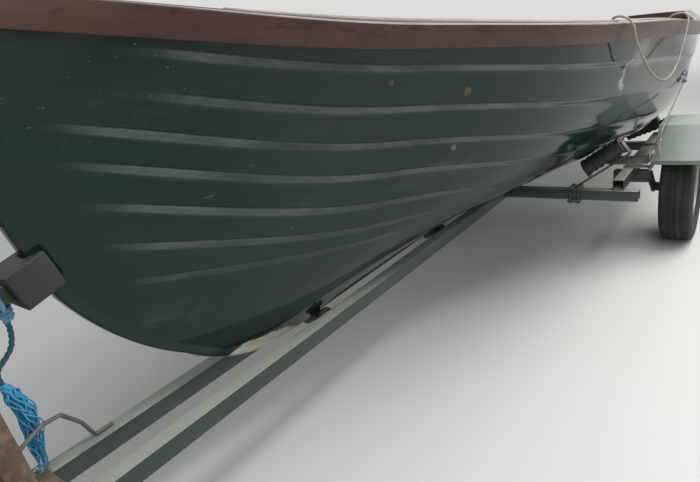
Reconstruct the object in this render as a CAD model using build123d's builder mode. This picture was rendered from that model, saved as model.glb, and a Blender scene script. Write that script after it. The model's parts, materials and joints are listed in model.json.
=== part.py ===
# Clinker-built open fishing boat standing on its road trailer.
# Frame: +X to the bow, +Y to port, +Z up, millimetres. The origin lies on the ground
# under the middle of the overall length, on the centre line.
import math
import os

from build123d import *

os.makedirs("parts", exist_ok=True)

# General clearances
SEAT = 0.3            # pieces that lie against each other
RUN = 0.08            # radial running fit of a bush on its spindle
NUDGE = 1.0           # how far a cutting tool passes the face that it leaves

# Hull
WALL = 10             # moulded skin
LAND_STEP = 7         # how far each strake's lower edge stands proud of the one below
STEM_STEP = 1.0       # what is left of that step at the stem
KEEL_HALF = 18        # half the width of keel and stem
KEEL_BOTTOM = 400
KEEL_DEEP = 70        # keel and stem, measured in from their outer edge
PLANK_EMBED = 8       # half width at which the skin ends inside the keel
KEELSON_TOP = 50      # keel's inner face above its bottom
AFT_PANELS = 10       # panels of skin from the transom to the last station
BOW_PANELS = 4        # and from there to the stem
BOW_TANGENT = 50      # length over which the skin's run into the bow is taken
ROOT_FULLNESS = 0.478  # handles of the section curve, as parts of its chord
SHEER_FULLNESS = 0.638
# columns: x, height of the garboard's root, half breadth and height of the sheer,
# deadrise at the keel and flare at the sheer in degrees
STATIONS = [
    (-3035, 425, 628, 1140, 13.5, 6.3),
    (-2185, 420, 757, 1113, 13.6, 7.1),
    (-1285, 415, 865, 1106, 15.0, 6.0),
    (-385, 410, 840, 1156, 21.5, 16.0),
    (315, 406, 708, 1194, 29.5, 23.3),
    (965, 403, 446, 1264, 42.2, 29.6),
]
# columns: share of the girth at the stern and at the last station; the first row is the
# middle of the garboard, then the lower edge of each strake
LAPS = [
    (0.066, 0.148),
    (0.133, 0.295),
    (0.264, 0.347),
    (0.392, 0.424),
    (0.509, 0.524),
    (0.610, 0.624),
    (0.728, 0.735),
    (0.847, 0.859),
]
# the first two rows meet the stem at forefoot and chin, the rest at these shares of the
# height from the chin to the sheer
LAPS_ON_STEM = [0.177, 0.352, 0.497, 0.618, 0.737, 0.855]
STEM_SHEER_Z = 1435
STEM_HEAD_PROUD = 17    # stem head above the sheer
STEM_HEAD_Z = STEM_SHEER_Z + STEM_HEAD_PROUD
# stem profile, x and z: keel end, forefoot, chin and head, with a point between on each arc
STEM_KEEL_END = (1335, KEEL_BOTTOM)
STEM_TOE = (1496, 440)
STEM_FOREFOOT = (1645, 535)
STEM_BREAST = (1802, 675)
STEM_CHIN = (1896, 815)
STEM_THROAT = (1948, 1000)
STEM_HEAD = (1981, STEM_HEAD_Z)
ENTRANCE_LOW = 0.205  # slope of the skin to the centre line at the keel's height
ENTRANCE_HIGH = 0.523  # and this far above it
ENTRANCE_SPAN = 1000
STEM_REBATE = 2       # how far the skin's end lies inside the stem's outer edge


def along(a, b, t):
    return a + (b - a) * t


def hermite(a, slope_a, b, slope_b, t):
    """Cubic from a to b with the given slopes at its ends."""
    rise = a * (2 * t**3 - 3 * t**2 + 1) + b * (3 * t**2 - 2 * t**3)
    return rise + slope_a * (t**3 - 2 * t**2 + t) + slope_b * (t**3 - t**2)


def circle_x(z, low, middle, high):
    """Forward x at height z on the arc through three points of the stem profile."""
    (x1, z1), (x2, z2), (x3, z3) = low, middle, high
    d = 2 * (x1 * (z2 - z3) + x2 * (z3 - z1) + x3 * (z1 - z2))
    q1, q2, q3 = (x * x + h * h for x, h in (low, middle, high))
    cx = (q1 * (z2 - z3) + q2 * (z3 - z1) + q3 * (z1 - z2)) / d
    cz = (q1 * (x3 - x2) + q2 * (x1 - x3) + q3 * (x2 - x1)) / d
    radius = math.hypot(x1 - cx, z1 - cz)
    return cx + math.sqrt(max(radius**2 - (z - cz) ** 2, 0.0))


def stem_x(z):
    if z < STEM_FOREFOOT[1]:
        return circle_x(z, STEM_KEEL_END, STEM_TOE, STEM_FOREFOOT)
    if z < STEM_CHIN[1]:
        return circle_x(z, STEM_FOREFOOT, STEM_BREAST, STEM_CHIN)
    return circle_x(z, STEM_CHIN, STEM_THROAT, STEM_HEAD)


def station_row(x):
    """Row of the table at x, on a smooth curve through its neighbours."""
    last = len(STATIONS) - 2
    i = 0
    while i < last and x > STATIONS[i + 1][0]:
        i += 1
    low, high = STATIONS[i], STATIONS[i + 1]
    before, after = STATIONS[max(i - 1, 0)], STATIONS[min(i + 2, last + 1)]
    span = high[0] - low[0]
    t = (x - low[0]) / span
    row = [x]
    for a, b, c, d in list(zip(before, low, high, after))[1:]:
        slope_low = (c - a) / (high[0] - before[0]) * span
        slope_high = (d - b) / (after[0] - low[0]) * span
        row.append(hermite(b, slope_low, c, slope_high, t))
    return tuple(row)


def girth_curve(row, steps=60):
    """Section curve from garboard root to sheer."""
    _, root_z, sheer_y, sheer_z, deadrise, flare = row
    root = (PLANK_EMBED, root_z)
    sheer = (sheer_y, sheer_z)
    chord = math.dist(root, sheer)
    dead, lean = math.radians(deadrise), math.radians(flare)
    low = (
        root[0] + ROOT_FULLNESS * chord * math.cos(dead),
        root[1] + ROOT_FULLNESS * chord * math.sin(dead),
    )
    high = (
        sheer[0] - SHEER_FULLNESS * chord * math.sin(lean),
        sheer[1] - SHEER_FULLNESS * chord * math.cos(lean),
    )
    points = []
    for i in range(steps + 1):
        t = i / steps
        weights = ((1 - t) ** 3, 3 * (1 - t) ** 2 * t, 3 * (1 - t) * t * t, t**3)
        points.append(
            tuple(
                sum(w * p[k] for w, p in zip(weights, (root, low, high, sheer)))
                for k in (0, 1)
            )
        )
    return points


def girth_point(points, share, inset=0.0):
    """Point at a share of the girth, moved in from the outer face by inset."""
    lengths = [0.0]
    for a, b in zip(points, points[1:]):
        lengths.append(lengths[-1] + math.dist(a, b))
    target = share * lengths[-1]
    i = 0
    while i < len(points) - 2 and lengths[i + 1] < target:
        i += 1
    a, b = points[i], points[i + 1]
    t = (target - lengths[i]) / (lengths[i + 1] - lengths[i])
    span = math.dist(a, b)
    normal = ((b[1] - a[1]) / span, -(b[0] - a[0]) / span)
    return tuple(along(a[k], b[k], t) - inset * normal[k] for k in (0, 1))


def lap_shares(x):
    stern, bow = STATIONS[0][0], STATIONS[-1][0]
    t = (x - stern) / (bow - stern)
    return [along(aft, fore, t) for aft, fore in LAPS]


def chain(row, inset=0.0):
    """Root, both garboard arcs, laps and sheer of one section, in from the outer face."""
    curve = girth_curve(row)
    shares = [0.0] + lap_shares(row[0]) + [1.0]
    mids = [(shares[0] + shares[1]) / 2, (shares[1] + shares[2]) / 2]
    corners = [girth_point(curve, s, inset) for s in shares]
    middles = [girth_point(curve, s, inset) for s in mids]
    x = row[0]
    return [Vector(x, y, z) for y, z in corners], [Vector(x, y, z) for y, z in middles]


def stem_chain(inset=0.0):
    """The same points where the skin ends at the stem."""
    upper = [along(STEM_CHIN[1], STEM_SHEER_Z, share) for share in LAPS_ON_STEM]
    heights = [STEM_FOREFOOT[1], STEM_CHIN[1]] + upper + [STEM_SHEER_Z]
    corners = [STEM_KEEL_END] + [(stem_x(z), z) for z in heights]
    middles = [STEM_TOE, STEM_BREAST]
    run = corners[:1] + [middles[0], corners[1], middles[1]] + corners[2:]
    moved = []
    for i, (x, z) in enumerate(run):
        a, b = run[max(i - 1, 0)], run[min(i + 1, len(run) - 1)]
        tangent = Vector(b[0] - a[0], 0, b[1] - a[1]).normalized()
        if i == 0:
            tangent = Vector(1, 0, 0)
        entrance = along(ENTRANCE_LOW, ENTRANCE_HIGH, (z - KEEL_BOTTOM) / ENTRANCE_SPAN)
        depth = STEM_REBATE + inset / math.sin(math.atan(entrance))
        moved.append(Vector(x, PLANK_EMBED, z) + Vector(-tangent.Z, 0, tangent.X) * depth)
    return [moved[0], moved[2]] + moved[4:], [moved[1], moved[3]]


def bow_point(behind, last, stem, t):
    """Point between the last station and the stem, in line with both."""
    length = stem.X - last.X
    entrance = along(ENTRANCE_LOW, ENTRANCE_HIGH, (stem.Z - KEEL_BOTTOM) / ENTRANCE_SPAN)
    leave = (last - behind) * (length / (last.X - behind.X))
    meet = Vector(length, -entrance * length, stem.Z - last.Z)
    return hermite(last, leave, stem, meet, t)


def bow_chain(inset, t):
    """Corners and garboard middles of a section at t of the way from last station to stem."""
    x = STATIONS[-1][0]
    behind, behind_mid = chain(station_row(x - BOW_TANGENT), inset)
    last, last_mid = chain(STATIONS[-1], inset)
    stem, stem_mid = stem_chain(inset)
    corners = [bow_point(a, b, c, t) for a, b, c in zip(behind, last, stem)]
    middles = [bow_point(a, b, c, t) for a, b, c in zip(behind_mid, last_mid, stem_mid)]
    return corners, middles


def shell_wire(outer, outer_mid, inner, inner_mid, steps):
    """Closed section of one side's skin, with the clinker steps on its outer face."""
    zigzag = [outer[2]]
    for corner, step in zip(outer[2:-1], steps):
        zigzag.append(corner + step)
        zigzag.append(outer[outer.index(corner) + 1])
    with BuildLine() as line:
        ThreePointArc(outer[0], outer_mid[0], outer[1])
        ThreePointArc(outer[1], outer_mid[1], outer[2])
        Polyline(*zigzag)
        Polyline(outer[-1], *reversed(inner[2:]))
        ThreePointArc(inner[2], inner_mid[1], inner[1])
        ThreePointArc(inner[1], inner_mid[0], inner[0])
        Line(inner[0], outer[0])
    return line.wire()


def step_vectors(outer, inner):
    """Outward steps at the laps of a station, from the skin's own thickness direction."""
    return [(o - i).normalized() * LAND_STEP for o, i in zip(outer[2:-1], inner[2:-1])]


def section_xs():
    stern, bow = STATIONS[0][0], STATIONS[-1][0]
    return [along(stern, bow, i / AFT_PANELS) for i in range(AFT_PANELS + 1)]


def station_section(x):
    """Outer and inner corners, their garboard middles and the steps of one station."""
    row = station_row(x)
    outer, outer_mid = chain(row)
    inner, inner_mid = chain(row, WALL)
    return outer, outer_mid, inner, inner_mid, step_vectors(outer, inner)


def bow_section(t):
    """The same between the last station, t = 0, and the stem, t = 1."""
    if t == 1:
        outer, outer_mid = stem_chain()
        inner, inner_mid = stem_chain(WALL)
    else:
        outer, outer_mid = bow_chain(0, t)
        inner, inner_mid = bow_chain(WALL, t)
    full = station_section(STATIONS[-1][0])[4]
    fading = [s * (1 - t) + Vector(0, 0, STEM_STEP * t) for s in full]
    return outer, outer_mid, inner, inner_mid, fading


BOW_TS = [i / BOW_PANELS for i in range(BOW_PANELS + 1)]
SECTIONS = [station_section(x) for x in section_xs()] + [bow_section(t) for t in BOW_TS[1:]]


def blend_sections(first, last, t):
    """Section on the straight panel between two others."""
    return tuple([along(a, b, t) for a, b in zip(p, q)] for p, q in zip(first, last))


def backbone_outline():
    """Side view of keel and stem."""
    with BuildSketch(Plane.XZ) as outline:
        with BuildLine():
            stern_low = (STATIONS[0][0], KEEL_BOTTOM)
            Polyline(stern_low, STEM_KEEL_END)
            ThreePointArc(STEM_KEEL_END, STEM_TOE, STEM_FOREFOOT)
            ThreePointArc(STEM_FOREFOOT, STEM_BREAST, STEM_CHIN)
            ThreePointArc(STEM_CHIN, STEM_THROAT, STEM_HEAD)
            Polyline(
                STEM_HEAD,
                (STEM_HEAD[0] - KEEL_DEEP, STEM_HEAD[1]),
                (STEM_CHIN[0] - KEEL_DEEP, STEM_CHIN[1]),
                (STEM_FOREFOOT[0] - KEEL_DEEP, STEM_FOREFOOT[1] + KEEL_DEEP),
                (STEM_KEEL_END[0], KEEL_BOTTOM + KEEL_DEEP),
                (STATIONS[-1][0], KEEL_BOTTOM + KEELSON_TOP),
                (STATIONS[0][0], KEEL_BOTTOM + KEELSON_TOP),
                stern_low,
            )
        make_face()
    return outline.sketch


def finish(piece, label):
    """Name a finished piece and write it out."""
    piece.part.label = label
    export_step(piece.part, f"parts/{label}.step")


def mirrored(piece, label):
    """The starboard twin of a port piece."""
    with BuildPart() as twin:
        add(piece.part.mirror(Plane.XZ))
    finish(twin, label)
    return twin


# Moulded hull: clinker skin of both sides on one keel and stem
with BuildPart() as hull:
    add(Solid.make_loft([shell_wire(*section) for section in SECTIONS], ruled=True))
    add(extrude(backbone_outline(), amount=-KEEL_HALF))
    mirror(about=Plane.XZ)
finish(hull, "hull")


def strip(sections, edges, depth, thick, outward):
    """Strip that follows the skin: edges gives each section's top point and one below it."""
    tops = [edges(section)[0] for section in sections]
    wires = []
    for i, section in enumerate(sections):
        top, low = edges(section)
        run = tops[min(i + 1, len(tops) - 1)] - tops[max(i - 1, 0)]
        down = (low - top).normalized()
        normal = run.cross(down).normalized() * outward
        a = top + normal * SEAT
        b = a + down * depth
        with BuildLine() as line:
            Polyline(a, b, b + normal * thick, a + normal * thick, a)
        wires.append(line.wire())
    return Solid.make_loft(wires, ruled=True)


# Gunwale: rubbing strake outside, inwale inside
STRAKE_DEEP = 65
STRAKE_THICK = 22
STRAKE_END = 0.9      # how far along the last panel it runs
INWALE_DEEP = 42
INWALE_THICK = 20
TRANSOM_THICK = 28


def outer_sheer(section):
    outer, _, _, _, steps = section
    return outer[-1], outer[-2] + steps[-1]


def inner_sheer(section):
    return section[2][-1], section[2][-2]


stern_lap = station_section(STATIONS[0][0] - TRANSOM_THICK)
strake_end = blend_sections(SECTIONS[-2], SECTIONS[-1], STRAKE_END)
strake_sections = [stern_lap] + SECTIONS[:-1] + [strake_end]
with BuildPart() as rubbing_strake_port:
    add(strip(strake_sections, outer_sheer, STRAKE_DEEP, STRAKE_THICK, 1))
finish(rubbing_strake_port, "rubbing_strake_port")
rubbing_strake_starboard = mirrored(rubbing_strake_port, "rubbing_strake_starboard")

inwale_sections = SECTIONS[: AFT_PANELS + 1 + BOW_PANELS // 2]
with BuildPart() as inwale_port:
    add(strip(inwale_sections, inner_sheer, INWALE_DEEP, INWALE_THICK, -1))
finish(inwale_port, "inwale_port")
inwale_starboard = mirrored(inwale_port, "inwale_starboard")

# Breasthook: triangular knee that ties the gunwales behind the stem
BREASTHOOK_THICK = 30
BREASTHOOK_DROP = 6
BREASTHOOK_END = 0.2  # how far along the last panel it runs
breasthook_sections = SECTIONS[AFT_PANELS + BOW_PANELS // 2 : -1]
breasthook_sections.append(blend_sections(SECTIONS[-2], SECTIONS[-1], BREASTHOOK_END))
breasthook_wires = []
for section in breasthook_sections:
    corner, below = section[2][-1], section[2][-2]
    flare = (corner.Y - below.Y) / (corner.Z - below.Z)
    top = corner.Z - BREASTHOOK_DROP
    high = corner.Y - BREASTHOOK_DROP * flare - 5 * SEAT
    low = high - BREASTHOOK_THICK * flare
    x = corner.X + SEAT
    with BuildLine() as line:
        Polyline(
            (x, -high, top),
            (x, high, top),
            (x, low, top - BREASTHOOK_THICK),
            (x, -low, top - BREASTHOOK_THICK),
            (x, -high, top),
        )
    breasthook_wires.append(line.wire())
with BuildPart() as breasthook:
    add(Solid.make_loft(breasthook_wires, ruled=True))
finish(breasthook, "breasthook")

# Transom board with the notch for an outboard, and its pads
TRANSOM_CROWN = 25
NOTCH_WIDE = 380
NOTCH_DEEP = 150
NOTCH_ROUND = 40
PAD_WIDE = 300
PAD_HIGH = 240
PAD_THICK = 22
PAD_ROUND = 20


def transom_wire(x):
    outer, _, _, _, steps = station_section(x)
    side = [Vector(x, KEEL_HALF, KEEL_BOTTOM), Vector(x, KEEL_HALF, outer[0].Z), outer[1]]
    for corner, step in zip(outer[2:-1], steps):
        side += [corner, corner + step]
    side.append(outer[-1])
    other = [Vector(p.X, -p.Y, p.Z) for p in side]
    with BuildLine() as line:
        Polyline(*side)
        ThreePointArc(side[-1], (x, 0, side[-1].Z + TRANSOM_CROWN), other[-1])
        Polyline(*reversed(other))
        Line(other[0], side[0])
    return line.wire()


TRANSOM_FACE_X = STATIONS[0][0]
TRANSOM_AFT_X = TRANSOM_FACE_X - TRANSOM_THICK
NOTCH_Z = STATIONS[0][3] + TRANSOM_CROWN - NOTCH_DEEP
with BuildPart() as transom_board:
    add(Solid.make_loft([transom_wire(TRANSOM_FACE_X), transom_wire(TRANSOM_AFT_X)], ruled=True))
    with BuildSketch(Plane.YZ.offset(TRANSOM_FACE_X + NUDGE)):
        with Locations((0, NOTCH_Z + NOTCH_DEEP)):
            RectangleRounded(NOTCH_WIDE, 2 * NOTCH_DEEP, NOTCH_ROUND)
    extrude(amount=-TRANSOM_THICK - 2 * NUDGE, mode=Mode.SUBTRACT)
finish(transom_board, "transom_board")

with BuildPart() as outboard_pads:
    with BuildSketch(Plane.YZ.offset(TRANSOM_AFT_X)):
        with Locations((0, NOTCH_Z - PAD_HIGH / 2)):
            RectangleRounded(PAD_WIDE, PAD_HIGH, PAD_ROUND)
    extrude(amount=-PAD_THICK)
    with BuildSketch(Plane.YZ.offset(TRANSOM_FACE_X)):
        with Locations((0, NOTCH_Z - PAD_HIGH / 2)):
            RectangleRounded(PAD_WIDE, PAD_HIGH, PAD_ROUND)
    extrude(amount=PAD_THICK)
finish(outboard_pads, "outboard_pads")

# Inside of the hull, which trims what is fitted into it
TRIM = 1.0            # gap left between fitted boards and the skin


def hold_wire(section):
    inner = section[2]
    x = inner[0].X
    side = []
    for outer_point, inner_point in zip(section[0][1:], inner[1:]):
        side.append(inner_point + (inner_point - outer_point).normalized() * TRIM)
    floor = Vector(x, 0, KEEL_BOTTOM + KEELSON_TOP + SEAT)
    other = [Vector(p.X, -p.Y, p.Z) for p in side]
    with BuildLine() as line:
        Polyline(floor, *side, *reversed(other), floor)
    return line.wire()


hold = Solid.make_loft([hold_wire(s) for s in SECTIONS[: AFT_PANELS + 1]], ruled=True)


def riser_edge(section):
    inner = section[2]
    return along(inner[-3], inner[-2], RISER_SHARE), inner[-3]


def riser_height(x):
    """Highest edge of the riser's top face at x."""
    section = station_section(x)
    inward = (section[2][-2] - section[0][-2]).normalized()
    return riser_edge(section)[0].Z + (RISER_THICK + SEAT) * inward.Z + SEAT


# Risers along the skin carry the thwarts
RISER_SHARE = 0.5     # height between the fifth and sixth laps
RISER_DEEP = 45
RISER_THICK = 18
with BuildPart() as risers:
    add(strip(SECTIONS[: AFT_PANELS + 1], riser_edge, RISER_DEEP, RISER_THICK, -1))
    mirror(about=Plane.XZ)
finish(risers, "risers")

THWART_THICK = 25
# columns: name, aft edge, fore edge
THWARTS = [
    ("stern_seat", -2990, -2560),
    ("thwart_aft", -1790, -1540),
    ("thwart_middle", -640, -390),
    ("thwart_bow", 400, 650),
]
for name, aft, fore in THWARTS:
    bottom = max(riser_height(aft), riser_height(fore)) + 5 * SEAT
    with BuildPart() as thwart:
        with BuildSketch(Plane.XY.offset(bottom)):
            with Locations(((aft + fore) / 2, 0)):
                Rectangle(fore - aft, 2 * STATIONS[2][2])
        extrude(amount=THWART_THICK)
        add(hold, mode=Mode.INTERSECT)
    finish(thwart, name)

# Floorboards: slats on cross bearers
FLOOR_Z = 505
SLAT_WIDE = 95
SLAT_GAP = 15
SLAT_THICK = 14
SLATS = 6
FLOOR_AFT = -2850
FLOOR_FORE = 700
BEARER_WIDE = 45
BEARERS = [-2700, -1900, -1100, -300, 500]
with BuildPart() as floorboards:
    with BuildSketch(Plane.XY.offset(FLOOR_Z)):
        with Locations(((FLOOR_AFT + FLOOR_FORE) / 2, 0)):
            with GridLocations(0, SLAT_WIDE + SLAT_GAP, 1, SLATS):
                Rectangle(FLOOR_FORE - FLOOR_AFT, SLAT_WIDE)
    extrude(amount=SLAT_THICK)
    with BuildSketch(Plane.XY.offset(KEEL_BOTTOM + KEELSON_TOP)):
        with Locations([(x, 0) for x in BEARERS]):
            Rectangle(BEARER_WIDE, SLATS * (SLAT_WIDE + SLAT_GAP))
    extrude(amount=FLOOR_Z - KEEL_BOTTOM - KEELSON_TOP)
    add(hold, mode=Mode.INTERSECT)
finish(floorboards, "floorboards")

# Bow eye through the stem, for the winch rope
EYE_Z = 1000
EYE_ROD = 10
EYE_RADIUS = 22
EYE_SHANK = 30
eye_x = stem_x(EYE_Z + EYE_ROD / 2) + SEAT
with BuildPart() as bow_eye:
    with BuildSketch(Plane.YZ.offset(eye_x)):
        with Locations((0, EYE_Z)):
            Circle(EYE_ROD / 2)
    extrude(amount=EYE_SHANK - EYE_RADIUS / 2)
    with Locations((eye_x + EYE_SHANK + EYE_RADIUS / 2, 0, EYE_Z)):
        Torus(EYE_RADIUS, EYE_ROD / 2, rotation=(90, 0, 0))
finish(bow_eye, "bow_eye")

# Trailer: twin spine beams
BEAM = 50             # square tube
BEAM_WALL = 4
BEAM_TOP = 409
BEAM_INNER_Y = 60
BEAM_AFT_X = -2800
BEAM_FORE_X = 2760
BEAM_OUTER_Y = BEAM_INNER_Y + BEAM
BEAM_LOW = BEAM_TOP - BEAM


def tube_x(x0, x1, y, z, wide, high, wall):
    """Rectangular tube along X between two places, centred on y and z."""
    with BuildPart() as tube:
        with BuildSketch(Plane.YZ.offset(x0)):
            with Locations((y, z)):
                Rectangle(wide, high)
                Rectangle(wide - 2 * wall, high - 2 * wall, mode=Mode.SUBTRACT)
        extrude(amount=x1 - x0)
    return tube


def tube_y(y0, y1, x, z, wide, high, wall):
    """Rectangular tube along Y between two places, centred on x and z."""
    with BuildPart() as tube:
        with BuildSketch(Plane(origin=(x, y0, z), x_dir=(1, 0, 0), z_dir=(0, 1, 0))):
            Rectangle(wide, high)
            Rectangle(wide - 2 * wall, high - 2 * wall, mode=Mode.SUBTRACT)
        extrude(amount=y1 - y0)
    return tube


def block(x, y, z):
    """Plain block between pairs of limits."""
    with BuildPart(mode=Mode.PRIVATE) as solid:
        with BuildSketch(Plane.XY.offset(z[0])):
            with Locations(((x[0] + x[1]) / 2, (y[0] + y[1]) / 2)):
                Rectangle(x[1] - x[0], y[1] - y[0])
        extrude(amount=z[1] - z[0])
    return solid.part


beam_y = BEAM_INNER_Y + BEAM / 2
beam_z = BEAM_TOP - BEAM / 2
spine_beam_port = tube_x(BEAM_AFT_X, BEAM_FORE_X, beam_y, beam_z, BEAM, BEAM, BEAM_WALL)
finish(spine_beam_port, "spine_beam_port")
spine_beam_starboard = mirrored(spine_beam_port, "spine_beam_starboard")

# Cross arms welded to the outer faces of the beams
ARM_OUTER_Y = 745
ARM_XS = {"front": -410, "rear": -1510}
for name, x in ARM_XS.items():
    cross_arm = tube_y(BEAM_OUTER_Y, ARM_OUTER_Y, x, beam_z, BEAM, BEAM, BEAM_WALL)
    with BuildPart() as cross_arms:
        add(cross_arm.part)
        mirror(about=Plane.XZ)
    finish(cross_arms, f"cross_arms_{name}")

# Side rails on the cross arms
RAIL_Y = 655
RAIL_FORE_PAST = 10      # rail ends beyond the middle of the front and rear arms
RAIL_AFT_PAST = 50
RAIL_FORE_X = ARM_XS["front"] + RAIL_FORE_PAST
RAIL_AFT_X = ARM_XS["rear"] - RAIL_AFT_PAST
rail_z = BEAM_TOP + BEAM / 2
side_rail_port = tube_x(RAIL_AFT_X, RAIL_FORE_X, RAIL_Y, rail_z, BEAM, BEAM, BEAM_WALL)
finish(side_rail_port, "side_rail_port")
side_rail_starboard = mirrored(side_rail_port, "side_rail_starboard")

# Suspension units under the rails: torsion tube, trailing arm and stub axle
AXLE_X = -918
WHEEL_RADIUS = 285
WHEEL_Y = 866
SUSPENSION_X = -790
SUSPENSION_TUBE = 60
SUSPENSION_ROUND = 6
SUSPENSION_INNER_Y = 560
SUSPENSION_OUTER_Y = 725
TRAIL_THICK = 14
TRAIL_HALF = 30
HUB_REACH = 55        # hub's inner face, in from the wheel's middle
STUB_RADIUS = 15
STUB_COLLAR = 24
STUB_END = 8          # past the wheel's middle


def side_plane(y):
    """Side view at y: local x is X and local y is Z. A negative extrude goes to port."""
    return Plane.XZ.offset(-y)


suspension_z = BEAM_TOP - SUSPENSION_TUBE / 2
trail_outer_y = SUSPENSION_OUTER_Y + TRAIL_THICK
with BuildPart() as suspension_port:
    with BuildSketch(side_plane(SUSPENSION_INNER_Y)):
        with Locations((SUSPENSION_X, suspension_z)):
            RectangleRounded(SUSPENSION_TUBE, SUSPENSION_TUBE, SUSPENSION_ROUND)
    extrude(amount=SUSPENSION_INNER_Y - SUSPENSION_OUTER_Y)
    with BuildSketch(side_plane(SUSPENSION_OUTER_Y)):
        SlotCenterPoint(
            ((SUSPENSION_X + AXLE_X) / 2, (suspension_z + WHEEL_RADIUS) / 2),
            (AXLE_X, WHEEL_RADIUS),
            2 * TRAIL_HALF,
        )
    extrude(amount=-TRAIL_THICK)
    with BuildSketch(side_plane(trail_outer_y)):
        with Locations((AXLE_X, WHEEL_RADIUS)):
            Circle(STUB_COLLAR)
    extrude(amount=trail_outer_y + SEAT - (WHEEL_Y - HUB_REACH))
    with BuildSketch(side_plane(trail_outer_y)):
        with Locations((AXLE_X, WHEEL_RADIUS)):
            Circle(STUB_RADIUS)
    extrude(amount=trail_outer_y - WHEEL_Y - STUB_END)
finish(suspension_port, "suspension_port")
suspension_starboard = mirrored(suspension_port, "suspension_starboard")

# Clamp plates of the suspension, on top of the rails
CLAMP_PLATE_LONG = 170
CLAMP_PLATE_WIDE = 190
CLAMP_PLATE_THICK = 8
CLAMP_PLATE_ROUND = 8
CLAMP_PLATE_INBOARD = 20  # of the rail's middle
with BuildPart() as suspension_plates:
    with BuildSketch(Plane.XY.offset(BEAM_TOP + BEAM)):
        with Locations((SUSPENSION_X, RAIL_Y - CLAMP_PLATE_INBOARD)):
            RectangleRounded(CLAMP_PLATE_LONG, CLAMP_PLATE_WIDE, CLAMP_PLATE_ROUND)
    extrude(amount=CLAMP_PLATE_THICK)
    mirror(about=Plane.XZ)
finish(suspension_plates, "suspension_plates")

# Road wheels: pressed rim on its hub, and the tyre
TYRE_WIDE = 155
TREAD_INSET = 17      # tread's edge, in from the tyre's side
SHOULDER_DROP = 22
SHOULDER_INSET = 3
SHOULDER_MIDDLE = (8, 7)  # in from side and tread
BELLY_DROP = 35       # widest place below the shoulder
CARCASS = 14
BEAD_HALF = 53
BEAD_WIDE = 16
BEAD_TAPER = 4
BEAD_RADIUS = 165
FLANGE_RADIUS = 177
RIM_SKIN = 5
RIM_LEAN = 4          # a sloping skin's inner line, along the axle from its outer one
SEAT_DROP = 2         # the bead seats fall this much to the well
SEAT_HALF = 34
WELL_HALF = 24
WELL_RADIUS = 140
HUB_RADIUS = 34
CAP_RADIUS = 27
CAP_REACH = 48
DISC_OFFSET = 22      # the disc's outer face from the wheel's middle
DISC_THICK = 8
DISC_FOOT = 6         # where the disc meets the well, from the wheel's middle
DISC_DISH = 22        # how far the dished ring lies inside the well
DISC_FLAT = 12        # flat past the bolts
BOLT_CIRCLE = 50
VENT_CIRCLE = 100
VENT_RADIUS = 13
VENTS = 8


def wheel_plane():
    """Section of the port wheel through its axle: local x outboard, local y up."""
    return Plane(origin=(AXLE_X, WHEEL_Y, WHEEL_RADIUS), x_dir=(0, 1, 0), z_dir=(1, 0, 0))


wheel_axis = Axis((AXLE_X, WHEEL_Y, WHEEL_RADIUS), (0, 1, 0))
with BuildPart() as tyre_port:
    with BuildSketch(wheel_plane()):
        with BuildLine():
            half = TYRE_WIDE / 2
            tread = (half - TREAD_INSET, WHEEL_RADIUS)
            middle = (half - SHOULDER_MIDDLE[0], WHEEL_RADIUS - SHOULDER_MIDDLE[1])
            shoulder = (half - SHOULDER_INSET, WHEEL_RADIUS - SHOULDER_DROP)
            belly = (half, shoulder[1] - BELLY_DROP)
            wall = (BEAD_HALF, FLANGE_RADIUS + 2)
            inside = [
                (BEAD_HALF, BEAD_RADIUS + SEAT),
                (BEAD_HALF - BEAD_WIDE, BEAD_RADIUS + SEAT),
                (BEAD_HALF - BEAD_WIDE + BEAD_TAPER, FLANGE_RADIUS + 2 * BEAD_TAPER),
                (half - CARCASS, belly[1]),
                (tread[0] - BEAD_TAPER, WHEEL_RADIUS - CARCASS),
            ]
            other = [(-x, y) for x, y in (tread, middle, shoulder, belly, wall)]
            Line(other[0], tread)
            ThreePointArc(tread, middle, shoulder)
            ThreePointArc(shoulder, belly, wall)
            Polyline(wall, *inside, *[(-x, y) for x, y in reversed(inside)], other[4])
            ThreePointArc(other[4], other[3], other[2])
            ThreePointArc(other[2], other[1], other[0])
        make_face()
    revolve(axis=wheel_axis)
finish(tyre_port, "tyre_port")
tyre_starboard = mirrored(tyre_port, "tyre_starboard")

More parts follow.
